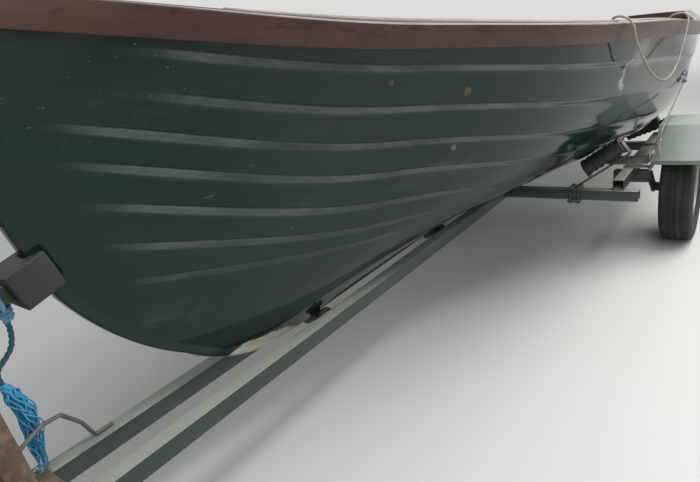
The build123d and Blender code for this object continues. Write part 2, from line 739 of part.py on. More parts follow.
flange_in = BEAD_HALF + SEAT
flange_out = flange_in + RIM_SKIN
with BuildPart() as rim_port:
    with BuildSketch(wheel_plane()):
        with BuildLine():
            Polyline(
                (-flange_out, FLANGE_RADIUS),
                (-flange_in, FLANGE_RADIUS),
                (-flange_in, BEAD_RADIUS),
                (-SEAT_HALF, BEAD_RADIUS - SEAT_DROP),
                (-WELL_HALF, WELL_RADIUS),
                (WELL_HALF, WELL_RADIUS),
                (SEAT_HALF, BEAD_RADIUS - SEAT_DROP),
                (flange_in, BEAD_RADIUS),
                (flange_in, FLANGE_RADIUS),
                (flange_out, FLANGE_RADIUS),
                (flange_out, BEAD_RADIUS - RIM_SKIN),
                (SEAT_HALF + RIM_LEAN, BEAD_RADIUS - SEAT_DROP - RIM_SKIN),
                (WELL_HALF + RIM_LEAN, WELL_RADIUS - RIM_SKIN),
                (-WELL_HALF - RIM_LEAN, WELL_RADIUS - RIM_SKIN),
                (-SEAT_HALF - RIM_LEAN, BEAD_RADIUS - SEAT_DROP - RIM_SKIN),
                (-flange_out, BEAD_RADIUS - RIM_SKIN),
                (-flange_out, FLANGE_RADIUS),
            )
        make_face()
        with BuildLine():
            Polyline(
                (DISC_FOOT, WELL_RADIUS - SEAT_DROP),
                (2 * DISC_FOOT, WELL_RADIUS - SEAT_DROP),
                (2 * DISC_FOOT + SEAT_DROP, WELL_RADIUS - DISC_DISH),
                (DISC_OFFSET + DISC_THICK, VENT_CIRCLE - DISC_DISH),
                (DISC_OFFSET, BOLT_CIRCLE + DISC_FLAT),
                (DISC_OFFSET, 0),
                (DISC_OFFSET - DISC_THICK, 0),
                (DISC_OFFSET - DISC_THICK, BOLT_CIRCLE + DISC_FLAT),
                (DISC_OFFSET, VENT_CIRCLE - DISC_DISH - SEAT_DROP),
                (DISC_FOOT + SEAT_DROP, WELL_RADIUS - DISC_DISH - SEAT_DROP),
                (DISC_FOOT, WELL_RADIUS - SEAT_DROP),
            )
        make_face()
        with Locations(((DISC_OFFSET - HUB_REACH) / 2, HUB_RADIUS / 2)):
            Rectangle(DISC_OFFSET + HUB_REACH, HUB_RADIUS)
        with Locations((CAP_REACH / 2, CAP_RADIUS / 2)):
            Rectangle(CAP_REACH, CAP_RADIUS)
    revolve(axis=wheel_axis)
    with BuildSketch(side_plane(WHEEL_Y - HUB_REACH)):
        with Locations((AXLE_X, WHEEL_RADIUS)):
            Circle(STUB_RADIUS + RUN)
    extrude(amount=-HUB_REACH - STUB_END - 2 * NUDGE, mode=Mode.SUBTRACT)
    with BuildSketch(side_plane(WHEEL_Y)):
        with Locations((AXLE_X, WHEEL_RADIUS)):
            with PolarLocations(VENT_CIRCLE, VENTS):
                Circle(VENT_RADIUS)
    extrude(amount=-DISC_OFFSET - 2 * DISC_THICK, mode=Mode.SUBTRACT)
finish(rim_port, "rim_port")
rim_starboard = mirrored(rim_port, "rim_starboard")

# Mudguards: flat top, sloping ends and a flange down each side
GUARD_INNER_Y = 765
GUARD_WIDE = 200
GUARD_TOP = 645
GUARD_LOW = 500
GUARD_LIP = 20
GUARD_TOP_HALF = 148
GUARD_LONG_HALF = 298
GUARD_SKIN = 3
GUARD_FLANGE = 45
guard_outline = [
    (AXLE_X - GUARD_LONG_HALF, GUARD_LOW - GUARD_LIP),
    (AXLE_X - GUARD_LONG_HALF, GUARD_LOW),
    (AXLE_X - GUARD_TOP_HALF, GUARD_TOP),
    (AXLE_X + GUARD_TOP_HALF, GUARD_TOP),
    (AXLE_X + GUARD_LONG_HALF, GUARD_LOW),
    (AXLE_X + GUARD_LONG_HALF, GUARD_LOW - GUARD_LIP),
]


def guard_edge(thick):
    """The outline moved in by thick."""
    steep = math.atan2(GUARD_TOP - GUARD_LOW, GUARD_LONG_HALF - GUARD_TOP_HALF)
    low_drop = thick * math.tan(math.radians(45) - steep / 2)
    top_run = thick * math.tan(steep / 2)
    left = AXLE_X - GUARD_LONG_HALF + thick
    right = AXLE_X + GUARD_LONG_HALF - thick
    return [
        (left, GUARD_LOW - GUARD_LIP),
        (left, max(GUARD_LOW - low_drop, GUARD_LOW - GUARD_LIP + NUDGE)),
        (AXLE_X - GUARD_TOP_HALF + top_run, GUARD_TOP - thick),
        (AXLE_X + GUARD_TOP_HALF - top_run, GUARD_TOP - thick),
        (right, max(GUARD_LOW - low_drop, GUARD_LOW - GUARD_LIP + NUDGE)),
        (right, GUARD_LOW - GUARD_LIP),
    ]


with BuildPart() as mudguard_port:
    for y, wide, thick in (
        (GUARD_INNER_Y, GUARD_WIDE, GUARD_SKIN),
        (GUARD_INNER_Y, GUARD_SKIN, GUARD_FLANGE),
        (GUARD_INNER_Y + GUARD_WIDE - GUARD_SKIN, GUARD_SKIN, GUARD_FLANGE),
    ):
        with BuildSketch(side_plane(y)):
            with BuildLine():
                Polyline(*guard_outline, *reversed(guard_edge(thick)), guard_outline[0])
            make_face()
        extrude(amount=-wide)
finish(mudguard_port, "mudguard_port")
mudguard_starboard = mirrored(mudguard_port, "mudguard_starboard")

# Flat stays from the rails to the mudguards
STAY_WIDE = 40
STAY_THICK = 6
STAY_RISE = 60
STAY_INSET = 35       # from the mudguard's ends
stay_xs = [AXLE_X + k * (GUARD_LONG_HALF - STAY_INSET) for k in (-1, 1)]
rail_top = BEAM_TOP + BEAM
with BuildPart() as mudguard_stays:
    for x in stay_xs:
        low_y, high_y = RAIL_Y - BEAM / 2, GUARD_INNER_Y
        add(
            block(
                (x - STAY_WIDE / 2, x + STAY_WIDE / 2),
                (low_y, high_y),
                (rail_top, rail_top + STAY_THICK),
            )
        )
        add(
            block(
                (x - STAY_WIDE / 2, x + STAY_WIDE / 2),
                (high_y - STAY_THICK, high_y),
                (rail_top, rail_top + STAY_RISE),
            )
        )
    mirror(about=Plane.XZ)
finish(mudguard_stays, "mudguard_stays")

# Keel rollers between the beams, each turning on its own spindle
SPINDLE_RADIUS = 8
KEEL_ROLLER_RADIUS = 22
KEEL_ROLLER_FLANGE = 36
KEEL_ROLLER_HALF = 48
KEEL_ROLLER_SLOPE = 14
KEEL_PLAY = 2         # each side of the keel, between the flanges
KEEL_ROLLER_FLAT = KEEL_HALF + KEEL_PLAY
keel_roller_z = KEEL_BOTTOM - SEAT - KEEL_ROLLER_RADIUS
KEEL_ROLLER_XS = [1120, 250, -700, -1700, -2640]
for number, x in enumerate(KEEL_ROLLER_XS, start=1):
    with BuildPart() as keel_roller:
        with BuildSketch(Plane(origin=(x, 0, keel_roller_z), x_dir=(0, 1, 0), z_dir=(1, 0, 0))):
            with BuildLine():
                Polyline(
                    (-KEEL_ROLLER_HALF, SPINDLE_RADIUS + RUN),
                    (-KEEL_ROLLER_HALF, KEEL_ROLLER_FLANGE),
                    (-KEEL_ROLLER_FLAT - KEEL_ROLLER_SLOPE, KEEL_ROLLER_FLANGE),
                    (-KEEL_ROLLER_FLAT, KEEL_ROLLER_RADIUS),
                    (KEEL_ROLLER_FLAT, KEEL_ROLLER_RADIUS),
                    (KEEL_ROLLER_FLAT + KEEL_ROLLER_SLOPE, KEEL_ROLLER_FLANGE),
                    (KEEL_ROLLER_HALF, KEEL_ROLLER_FLANGE),
                    (KEEL_ROLLER_HALF, SPINDLE_RADIUS + RUN),
                    (-KEEL_ROLLER_HALF, SPINDLE_RADIUS + RUN),
                )
            make_face()
        revolve(axis=Axis((x, 0, keel_roller_z), (0, 1, 0)))
    finish(keel_roller, f"keel_roller_{number}")

with BuildPart() as keel_roller_spindles:
    with BuildSketch(side_plane(-BEAM_INNER_Y)):
        with Locations([(x, keel_roller_z) for x in KEEL_ROLLER_XS]):
            Circle(SPINDLE_RADIUS)
    extrude(amount=-2 * BEAM_INNER_Y)
finish(keel_roller_spindles, "keel_roller_spindles")

# Bilge rollers: ribbed rubber, the front pair on arms and the rear pair in cradles
SIDE_ROLLER_RADIUS = 40
SIDE_ROLLER_LONG = 200
SIDE_ROLLER_RIB = 4
SIDE_ROLLER_RIBS = 7
SIDE_ROLLER_PLAY = 1.0  # between a roller's end and the plate beside it
SKIN_MARGIN = 20      # skin looked at past each end of a roller
BRACKET_THICK = 6
BRACKET_HALF = 22
BRACKET_GAP = 12      # between roller and bracket
BRACKET_RISE = 14     # the end plates stand this far past the spindle
FOOT_LONG = 40
CLAMP_LONG = 90
CLAMP_WIDE = 60
CLAMP_THICK = 10
CLAMP_BOLT = 5
CLAMP_EDGE = 12       # bolts from the clamp's edge
BOLT_END = 8          # bolts past the clamp
FRONT_TOUCH_Y = 560   # where the rollers touch the hull
REAR_TOUCH_Y = 560


def skin_touch(x, y, reach):
    """Point and directions of the skin at y, and how far its steps stand out within reach."""
    curve = girth_curve(station_row(x))
    for a, b in zip(curve, curve[1:]):
        if b[0] >= y:
            break
    point = Vector(x, y, along(a[1], b[1], (y - a[0]) / (b[0] - a[0])))
    run = Vector(0, b[0] - a[0], b[1] - a[1]).normalized()
    down = Vector(0, run.Z, -run.Y)
    outer, outer_mid, _, _, steps = station_section(x)
    corners = outer + outer_mid + [c + s for c, s in zip(outer[2:-1], steps)]
    near = [c - point for c in corners if abs((c - point).dot(run)) < reach]
    return point, run, down, max([c.dot(down) for c in near] + [0.0])


def bilge_roller(x, y):
    """Axis centre, direction and section plane of the roller under the skin at x and y."""
    point, run, down, proud = skin_touch(x, y, SIDE_ROLLER_LONG / 2 + SKIN_MARGIN)
    centre = point + down * (proud + SIDE_ROLLER_RADIUS + 2 * SEAT)
    return centre, run, Plane(origin=centre, x_dir=run, z_dir=(1, 0, 0))


def ribbed_roller(name, touch_y):
    """Make both rollers over a cross arm; gives centre, direction and plane of the port one."""
    centre, run, section = bilge_roller(ARM_XS[name], touch_y)
    half = SIDE_ROLLER_LONG / 2
    bore = SPINDLE_RADIUS + RUN
    pitch = SIDE_ROLLER_LONG / (2 * SIDE_ROLLER_RIBS - 1)
    profile = [(-half, bore)]
    for i in range(2 * SIDE_ROLLER_RIBS - 1):
        radius = SIDE_ROLLER_RADIUS - (SIDE_ROLLER_RIB if i % 2 else 0)
        profile += [(-half + i * pitch, radius), (-half + (i + 1) * pitch, radius)]
    profile.append((half, bore))
    with BuildPart() as roller:
        with BuildSketch(section):
            with BuildLine():
                Polyline(*profile, profile[0])
            make_face()
        revolve(axis=Axis(centre, run))
    finish(roller, f"side_roller_{name}_port")
    mirrored(roller, f"side_roller_{name}_starboard")
    return centre, run, section


# The front arm is clamped to its cross arm and rises outboard along the roller
centre, run, section = ribbed_roller("front", FRONT_TOUCH_Y)
plate_in = SIDE_ROLLER_LONG / 2 + SIDE_ROLLER_PLAY
plate_out = plate_in + BRACKET_THICK
base_top = -SIDE_ROLLER_RADIUS - BRACKET_GAP
base_low = base_top - BRACKET_THICK
base = centre + Vector(0, -run.Z, run.Y) * base_low
arm_run = (base.Z - BEAM_TOP - CLAMP_THICK / 2) / run.Z
clamp_y = base.Y - arm_run * run.Y
clamp_x = ARM_XS["front"]
with BuildPart() as side_roller_arms_front:
    with BuildSketch(section):
        with BuildLine():
            Polyline(
                (-arm_run, base_low),
                (plate_out, base_low),
                (plate_out, BRACKET_RISE),
                (plate_in, BRACKET_RISE),
                (plate_in, base_top),
                (-plate_in, base_top),
                (-plate_in, BRACKET_RISE),
                (-plate_out, BRACKET_RISE),
                (-plate_out, base_top),
                (-arm_run, base_top),
                (-arm_run, base_low),
            )
        make_face()
    extrude(amount=BRACKET_HALF, both=True)
    with BuildSketch(Plane(origin=centre - run * plate_out, z_dir=run)):
        Circle(SPINDLE_RADIUS)
    extrude(amount=2 * plate_out)
    for z in (BEAM_TOP, BEAM_LOW - CLAMP_THICK):
        with BuildSketch(Plane.XY.offset(z)):
            with Locations((clamp_x, clamp_y)):
                Rectangle(CLAMP_LONG, CLAMP_WIDE)
        extrude(amount=CLAMP_THICK)
    with BuildSketch(Plane.XY.offset(BEAM_LOW - CLAMP_THICK - BOLT_END)):
        with Locations((clamp_x, clamp_y)):
            with GridLocations(CLAMP_LONG - 2 * CLAMP_EDGE, CLAMP_WIDE - 2 * CLAMP_EDGE, 2, 2):
                Circle(CLAMP_BOLT)
    extrude(amount=BEAM + 2 * (CLAMP_THICK + BOLT_END))
    mirror(about=Plane.XZ)
finish(side_roller_arms_front, "side_roller_arms_front")

# The rear cradle stands on its cross arm inboard and on the side rail outboard
centre, run, section = ribbed_roller("rear", REAR_TOUCH_Y)
end_reach = SIDE_ROLLER_LONG / 2 * run.Y + SIDE_ROLLER_RADIUS * run.Z + SIDE_ROLLER_PLAY
inner_end = centre.Y - end_reach
outer_end = centre.Y + end_reach
spindle_reach = (end_reach + 2 * BRACKET_THICK) / run.Y
inner_top = centre.Z - end_reach * run.Z / run.Y + BRACKET_RISE
outer_top = centre.Z + end_reach * run.Z / run.Y + BRACKET_RISE
with BuildPart() as side_roller_arms_rear:
    with BuildSketch(Plane.YZ.offset(ARM_XS["rear"])):
        with BuildLine():
            Polyline(
                (inner_end, BEAM_TOP),
                (inner_end, inner_top),
                (inner_end - BRACKET_THICK, inner_top),
                (inner_end - BRACKET_THICK, BEAM_TOP + BRACKET_THICK),
                (inner_end - FOOT_LONG, BEAM_TOP + BRACKET_THICK),
                (inner_end - FOOT_LONG, BEAM_TOP),
                (inner_end, BEAM_TOP),
            )
        make_face()
        with BuildLine():
            Polyline(
                (outer_end - FOOT_LONG, rail_top),
                (outer_end + BRACKET_THICK, rail_top),
                (outer_end + BRACKET_THICK, outer_top),
                (outer_end, outer_top),
                (outer_end, rail_top + BRACKET_THICK),
                (outer_end - FOOT_LONG, rail_top + BRACKET_THICK),
                (outer_end - FOOT_LONG, rail_top),
            )
        make_face()
    extrude(amount=BRACKET_HALF, both=True)
    with BuildSketch(Plane(origin=centre - run * spindle_reach, z_dir=run)):
        Circle(SPINDLE_RADIUS)
    extrude(amount=2 * spindle_reach)
    mirror(about=Plane.XZ)
finish(side_roller_arms_rear, "side_roller_arms_rear")

# Winch post with the bow snubber
POST_X = 2083
POST_LEAN = 3.7       # degrees forward
POST = 50
POST_WALL = 5
POST_LONG = 560
BASE_THICK = 8
BASE_FORE = 95
BASE_AFT = 70
GUSSET_THICK = 8
GUSSET_HIGH = 152
GUSSET_TOP = 10       # run of its upper end along the post's side
GUSSET_INSET = 5      # from the base's fore edge
post_up = Vector(math.sin(math.radians(POST_LEAN)), 0, math.cos(math.radians(POST_LEAN)))
post_foot = Vector(POST_X, 0, BEAM_TOP + BASE_THICK / 2)
with BuildPart() as winch_post:
    add(
        block(
            (POST_X - BASE_AFT, POST_X + BASE_FORE),
            (-BEAM_OUTER_Y, BEAM_OUTER_Y),
            (BEAM_TOP, BEAM_TOP + BASE_THICK),
        )
    )
    with BuildSketch(Plane(origin=post_foot, x_dir=(post_up.Z, 0, -post_up.X), z_dir=post_up)):
        Rectangle(POST, POST)
        Rectangle(POST - 2 * POST_WALL, POST - 2 * POST_WALL, mode=Mode.SUBTRACT)
    extrude(amount=POST_LONG)
    with BuildSketch(side_plane(-GUSSET_THICK / 2)):
        with BuildLine():
            gusset_foot = BEAM_TOP + BASE_THICK - NUDGE
            Polyline(
                (POST_X + POST / 2 - NUDGE, gusset_foot),
                (POST_X + BASE_FORE - GUSSET_INSET, gusset_foot),
                (POST_X + POST / 2 + GUSSET_TOP, gusset_foot + NUDGE + GUSSET_HIGH),
                (POST_X + POST / 2 - NUDGE, gusset_foot),
            )
        make_face()
    extrude(amount=-GUSSET_THICK)
finish(winch_post, "winch_post")

# Snubber: rubber block with a slot for the stem, on an arm from the post
SNUBBER_Z = 888       # middle of the block on the stem
SNUBBER_HIGH = 86
SNUBBER_HALF = 48
SNUBBER_LONG = 92
SNUBBER_BITE = 30     # how far the block reaches back past the stem's face
SNUBBER_MOUTH = 34    # half width of the slot at its mouth
SNUBBER_ARM = 40
stem_low = Vector(stem_x(SNUBBER_Z - SNUBBER_HIGH / 2), 0, SNUBBER_Z - SNUBBER_HIGH / 2)
stem_high = Vector(stem_x(SNUBBER_Z + SNUBBER_HIGH / 2), 0, SNUBBER_Z + SNUBBER_HIGH / 2)
stem_up = (stem_high - stem_low).normalized()
stem_out = Vector(stem_up.Z, 0, -stem_up.X)
bow_out = (Vector(stem_x(SNUBBER_Z), 0, SNUBBER_Z) - stem_low).dot(stem_out)
snubber_foot = stem_low + stem_out * (bow_out + SEAT)
slot_half = KEEL_HALF + SEAT
with BuildPart() as snubber:
    with BuildSketch(Plane(origin=snubber_foot, x_dir=stem_out, z_dir=stem_up)):
        with BuildLine():
            Polyline(
                (-SNUBBER_BITE, -SNUBBER_MOUTH),
                (0, -slot_half),
                (0, slot_half),
                (-SNUBBER_BITE, SNUBBER_MOUTH),
                (-SNUBBER_BITE, SNUBBER_HALF),
                (SNUBBER_LONG - SNUBBER_BITE, SNUBBER_HALF),
                (SNUBBER_LONG - SNUBBER_BITE, -SNUBBER_HALF),
                (-SNUBBER_BITE, -SNUBBER_HALF),
                (-SNUBBER_BITE, -SNUBBER_MOUTH),
            )
        make_face()
    extrude(amount=SNUBBER_HIGH)
finish(snubber, "snubber")

snubber_middle = snubber_foot + stem_up * (SNUBBER_HIGH / 2)
block_face = snubber_middle + stem_out * (SNUBBER_LONG - SNUBBER_BITE)
post_at = post_foot + post_up * ((block_face.Z - post_foot.Z) / post_up.Z)
arm_end_x = post_at.X - POST / 2 / post_up.Z
with BuildPart() as snubber_arm:
    with BuildSketch(side_plane(-SNUBBER_ARM / 2)):
        with BuildLine():
            top = block_face + stem_up * (SNUBBER_ARM / 2)
            low = block_face - stem_up * (SNUBBER_ARM / 2)
            lean = post_up.X / post_up.Z
            Polyline(
                (top.X, top.Z),
                (arm_end_x + (top.Z - block_face.Z) * lean, top.Z),
                (arm_end_x + (low.Z - block_face.Z) * lean, low.Z),
                (low.X, low.Z),
                (top.X, top.Z),
            )
        make_face()
    extrude(amount=-SNUBBER_ARM)
finish(snubber_arm, "snubber_arm")

# Winch on the post: cheeks, drum and crank
WINCH_PLATE = 6
CHEEK_THICK = 4
CHEEK_HALF = 44
CHEEK_HIGH = 105
CHEEK_LONG = 110
DRUM_CORE = 20
DRUM_FLANGE = 42
DRUM_HALF = 40
DRUM_SHAFT = 8
SHAFT_END = 8         # past the starboard cheek
DRUM_RISE = 62
CRANK_Y = 74
CRANK_LONG = 170
CRANK_WIDE = 22
CRANK_THICK = 6
GRIP_RADIUS = 14
GRIP_LONG = 95
post_top = post_foot + post_up * POST_LONG
winch_z = post_top.Z + POST / 2 * abs(post_up.X) + SEAT
winch_x = post_top.X
drum_z = winch_z + WINCH_PLATE + DRUM_RISE
with BuildPart() as winch_frame:
    with BuildSketch(Plane.XY.offset(winch_z)):
        with Locations((winch_x, 0)):
            Rectangle(CHEEK_LONG, 2 * (CHEEK_HALF + CHEEK_THICK))
    extrude(amount=WINCH_PLATE)
    for y in (-CHEEK_HALF - CHEEK_THICK, CHEEK_HALF):
        with BuildSketch(side_plane(y)):
            with BuildLine():
                Polyline(
                    (winch_x - CHEEK_LONG / 2, winch_z),
                    (winch_x + CHEEK_LONG / 2, winch_z),
                    (winch_x + CHEEK_LONG / 4, winch_z + CHEEK_HIGH),
                    (winch_x - CHEEK_LONG / 4, winch_z + CHEEK_HIGH),
                    (winch_x - CHEEK_LONG / 2, winch_z),
                )
            make_face()
            with Locations((winch_x, drum_z)):
                Circle(DRUM_SHAFT + RUN, mode=Mode.SUBTRACT)
        extrude(amount=-CHEEK_THICK)
finish(winch_frame, "winch_frame")

with BuildPart() as winch_drum:
    with BuildSketch(side_plane(-DRUM_HALF)):
        with Locations((winch_x, drum_z)):
            Circle(DRUM_CORE)
    extrude(amount=-2 * DRUM_HALF)
    for y in (-DRUM_HALF, DRUM_HALF - CHEEK_THICK):
        with BuildSketch(side_plane(y)):
            with Locations((winch_x, drum_z)):
                Circle(DRUM_FLANGE)
        extrude(amount=-CHEEK_THICK)
    with BuildSketch(side_plane(-CHEEK_HALF - CHEEK_THICK - SHAFT_END)):
        with Locations((winch_x, drum_z)):
            Circle(DRUM_SHAFT)
    extrude(amount=-CHEEK_HALF - CHEEK_THICK - SHAFT_END - CRANK_Y)
    with BuildSketch(side_plane(CRANK_Y - CRANK_THICK)):
        crank_end = (winch_x, drum_z - CRANK_LONG)
        SlotCenterPoint((winch_x, drum_z - CRANK_LONG / 2), crank_end, CRANK_WIDE)
    extrude(amount=-CRANK_THICK)
    with BuildSketch(side_plane(CRANK_Y)):
        with Locations((winch_x, drum_z - CRANK_LONG)):
            Circle(GRIP_RADIUS)
    extrude(amount=-GRIP_LONG)
finish(winch_drum, "winch_drum")

# Bent rod from the post down to the starboard beam
ROD_RADIUS = 5
ROD_BEND = 18
ROD_Z = 540           # where it leaves the post
rod_post = post_foot + post_up * ((ROD_Z - post_foot.Z) / post_up.Z)
rod_foot_z = BEAM_TOP + ROD_RADIUS + SEAT
ROD_POINTS = [
    (rod_post.X - POST / 2 / post_up.Z - 5 * SEAT, 0, ROD_Z),
    (2010, -8, 560),
    (1962, -28, 548),
    (1915, -62, 480),
    (1888, -86, rod_foot_z),
    (1840, -88, rod_foot_z),
]
with BuildPart() as bent_rod:
    with BuildLine() as rod_path:
        FilletPolyline(*ROD_POINTS, radius=ROD_BEND)
    with BuildSketch(Plane(origin=rod_path.line @ 0, z_dir=rod_path.line % 0)):
        Circle(ROD_RADIUS)
    sweep(path=rod_path.wire())
finish(bent_rod, "bent_rod")

# Coupling on its plate at the nose of the beams
BALL_X = 3045
SOCKET_RADIUS = 25.2
SOCKET_LOW = 405
SOCKET_DEEP = 25      # straight part of the socket below the ball's middle
NOSE_RADIUS = 40
COUPLING_HALF = 30
COUPLING_AFT_X = 2560
COUPLING_HIGH = 58
COUPLING_TAIL_HIGH = 28
COUPLING_STEP = 40    # run of the tail's slope
COUPLING_STEP_DROP = 12
COUPLING_FLAT = 90    # flat top aft of the ball
THROAT_FORE = 60      # where the underside starts to fall, ahead of the beams
THROAT_BACK = 20      # where it ends, aft of the ball
PLATE_AFT_X = 2500
PLATE_PROUD = 10      # past the beams' ends
PLATE_THICK = 10
plate_top = BEAM_TOP + PLATE_THICK
coupling_top = plate_top + COUPLING_HIGH
with BuildPart() as coupling_plate:
    add(
        block(
            (PLATE_AFT_X, BEAM_FORE_X + PLATE_PROUD),
            (-BEAM_OUTER_Y, BEAM_OUTER_Y),
            (BEAM_TOP, plate_top),
        )
    )
finish(coupling_plate, "coupling_plate")

with BuildPart() as coupling_head:
    with BuildSketch(side_plane(-COUPLING_HALF)):
        with BuildLine():
            Polyline(
                (COUPLING_AFT_X, plate_top),
                (BEAM_FORE_X + THROAT_FORE, plate_top),
                (BALL_X - THROAT_BACK, SOCKET_LOW + THROAT_BACK),
                (BALL_X, SOCKET_LOW + THROAT_BACK),
                (BALL_X, coupling_top),
                (BALL_X - COUPLING_FLAT, coupling_top),
                (COUPLING_AFT_X + COUPLING_STEP, coupling_top - COUPLING_STEP_DROP),
                (COUPLING_AFT_X, plate_top + COUPLING_TAIL_HIGH),
                (COUPLING_AFT_X, plate_top),
            )
        make_face()
    extrude(amount=-2 * COUPLING_HALF)
    with BuildSketch(Plane.XY.offset(SOCKET_LOW)):
        with Locations((BALL_X, 0)):
            Circle(NOSE_RADIUS)
    extrude(amount=coupling_top - SOCKET_LOW)
    with BuildSketch(Plane.XY.offset(SOCKET_LOW - NUDGE)):
        with Locations((BALL_X, 0)):
            Circle(SOCKET_RADIUS)
    extrude(amount=SOCKET_DEEP + NUDGE, mode=Mode.SUBTRACT)
    with Locations((BALL_X, 0, SOCKET_LOW + SOCKET_DEEP)):
        Sphere(SOCKET_RADIUS, mode=Mode.SUBTRACT)
finish(coupling_head, "coupling_head")

LEVER_LONG = 190
LEVER_WIDE = 34
LEVER_THICK = 8
LEVER_LEAN = 8        # degrees
LEVER_ROUND = 10
LEVER_START = 5       # aft of the flat top's edge
with BuildPart() as coupling_lever:
    lever_foot = Vector(BALL_X - COUPLING_FLAT - LEVER_START, 0, coupling_top + SEAT)
    back = Vector(-math.cos(math.radians(LEVER_LEAN)), 0, math.sin(math.radians(LEVER_LEAN)))
    with BuildSketch(Plane(origin=lever_foot, x_dir=back, z_dir=Vector(0, 1, 0).cross(back))):
        with Locations((LEVER_LONG / 2, 0)):
            RectangleRounded(LEVER_LONG, LEVER_WIDE, LEVER_ROUND)
    extrude(amount=LEVER_THICK)
finish(coupling_lever, "coupling_lever")

# Jockey wheel clamped to the starboard beam
JOCKEY_X = 2380
JOCKEY_TUBE = 24
JOCKEY_WALL = 3
JOCKEY_LOW = 230
JOCKEY_TOP = 760
JOCKEY_CLAMP_LOW = 362
JOCKEY_CLAMP_HIGH = 406
JOCKEY_BRACKET = 22
CLAMP_RING = 9        # the clamp's wall round the tube
CLAMP_NECK = 50
CAP_LIP = 4           # the top cap's lip past the tube
CAP_HIGH = 14
NUT_RADIUS = 9
NUT_HIGH = 22
JOCKEY_CRANK_LONG = 100
JOCKEY_CRANK_WIDE = 22
JOCKEY_CRANK_RISE = 16  # above the cap
JOCKEY_CRANK_THICK = 6
KNOB_RADIUS = 13
KNOB_LONG = 80
STEM_SLIDE = 60       # inner stem's end below the tube's
CASTOR_RADIUS = 100
CASTOR_WIDE = 60
CASTOR_ROUND = 12
CASTOR_TRAIL = 45
FORK_THICK = 6
FORK_GAP = 5
FORK_WIDE = 40
CROWN_GAP = 14        # above the wheel
CROWN_THICK = 8
FORK_TOE = 20         # fork below the axle
jockey_y = -(BEAM_OUTER_Y + JOCKEY_BRACKET + JOCKEY_TUBE)
castor_x = JOCKEY_X - CASTOR_TRAIL
fork_half = CASTOR_WIDE / 2 + FORK_GAP
crown_z = 2 * CASTOR_RADIUS + CROWN_GAP
cap_top = JOCKEY_TOP + CAP_HIGH
crank_z = cap_top + JOCKEY_CRANK_RISE
with BuildPart() as jockey_clamp:
    with BuildSketch(Plane.XY.offset(JOCKEY_CLAMP_LOW)):
        with Locations((JOCKEY_X, jockey_y)):
            Circle(JOCKEY_TUBE + CLAMP_RING)
        with Locations((JOCKEY_X, (jockey_y - BEAM_OUTER_Y) / 2)):
            Rectangle(CLAMP_NECK, -BEAM_OUTER_Y - jockey_y)
        with Locations((JOCKEY_X, jockey_y)):
            Circle(JOCKEY_TUBE, mode=Mode.SUBTRACT)
    extrude(amount=JOCKEY_CLAMP_HIGH - JOCKEY_CLAMP_LOW)
finish(jockey_clamp, "jockey_clamp")

with BuildPart() as jockey_tube:
    with BuildSketch(Plane.XY.offset(JOCKEY_LOW)):
        with Locations((JOCKEY_X, jockey_y)):
            Circle(JOCKEY_TUBE)
            Circle(JOCKEY_TUBE - JOCKEY_WALL, mode=Mode.SUBTRACT)
    extrude(amount=JOCKEY_TOP - JOCKEY_LOW)
    with BuildSketch(Plane.XY.offset(JOCKEY_TOP)):
        with Locations((JOCKEY_X, jockey_y)):
            Circle(JOCKEY_TUBE + CAP_LIP)
    extrude(amount=CAP_HIGH)
    with BuildSketch(Plane.XY.offset(cap_top)):
        with Locations((JOCKEY_X, jockey_y)):
            Circle(NUT_RADIUS)
    extrude(amount=NUT_HIGH)
    with BuildSketch(Plane.XY.offset(crank_z)):
        crank_middle = (JOCKEY_X - JOCKEY_CRANK_LONG / 2, jockey_y)
        SlotCenterPoint(crank_middle, (JOCKEY_X, jockey_y), JOCKEY_CRANK_WIDE)
    extrude(amount=JOCKEY_CRANK_THICK)
    with BuildSketch(Plane.XY.offset(crank_z + JOCKEY_CRANK_THICK)):
        with Locations((JOCKEY_X - JOCKEY_CRANK_LONG, jockey_y)):
            Circle(KNOB_RADIUS)
    extrude(amount=KNOB_LONG)
finish(jockey_tube, "jockey_tube")

with BuildPart() as jockey_fork:
    with BuildSketch(Plane.XY.offset(crown_z)):
        with Locations((JOCKEY_X, jockey_y)):
            Circle(JOCKEY_TUBE - JOCKEY_WALL - RUN)
    extrude(amount=JOCKEY_TOP - STEM_SLIDE - crown_z)
    with BuildSketch(Plane.XY.offset(crown_z)):
        with Locations(((JOCKEY_X + castor_x) / 2, jockey_y)):
            Rectangle(CASTOR_TRAIL + FORK_WIDE, 2 * (fork_half + FORK_THICK))
    extrude(amount=CROWN_THICK)
    for y in (jockey_y - fork_half - FORK_THICK, jockey_y + fork_half):
        with BuildSketch(side_plane(y)):
            with BuildLine():
                Polyline(
                    (castor_x - FORK_WIDE / 2, crown_z + CROWN_THICK / 2),
                    (JOCKEY_X + FORK_WIDE / 2, crown_z + CROWN_THICK / 2),
                    (castor_x + FORK_WIDE / 2, CASTOR_RADIUS - FORK_TOE),
                    (castor_x - FORK_WIDE / 2, CASTOR_RADIUS - FORK_TOE),
                    (castor_x - FORK_WIDE / 2, crown_z + CROWN_THICK / 2),
                )
            make_face()
        extrude(amount=-FORK_THICK)
    with BuildSketch(side_plane(jockey_y - fork_half)):
        with Locations((castor_x, CASTOR_RADIUS)):
            Circle(SPINDLE_RADIUS)
    extrude(amount=-2 * fork_half)
finish(jockey_fork, "jockey_fork")

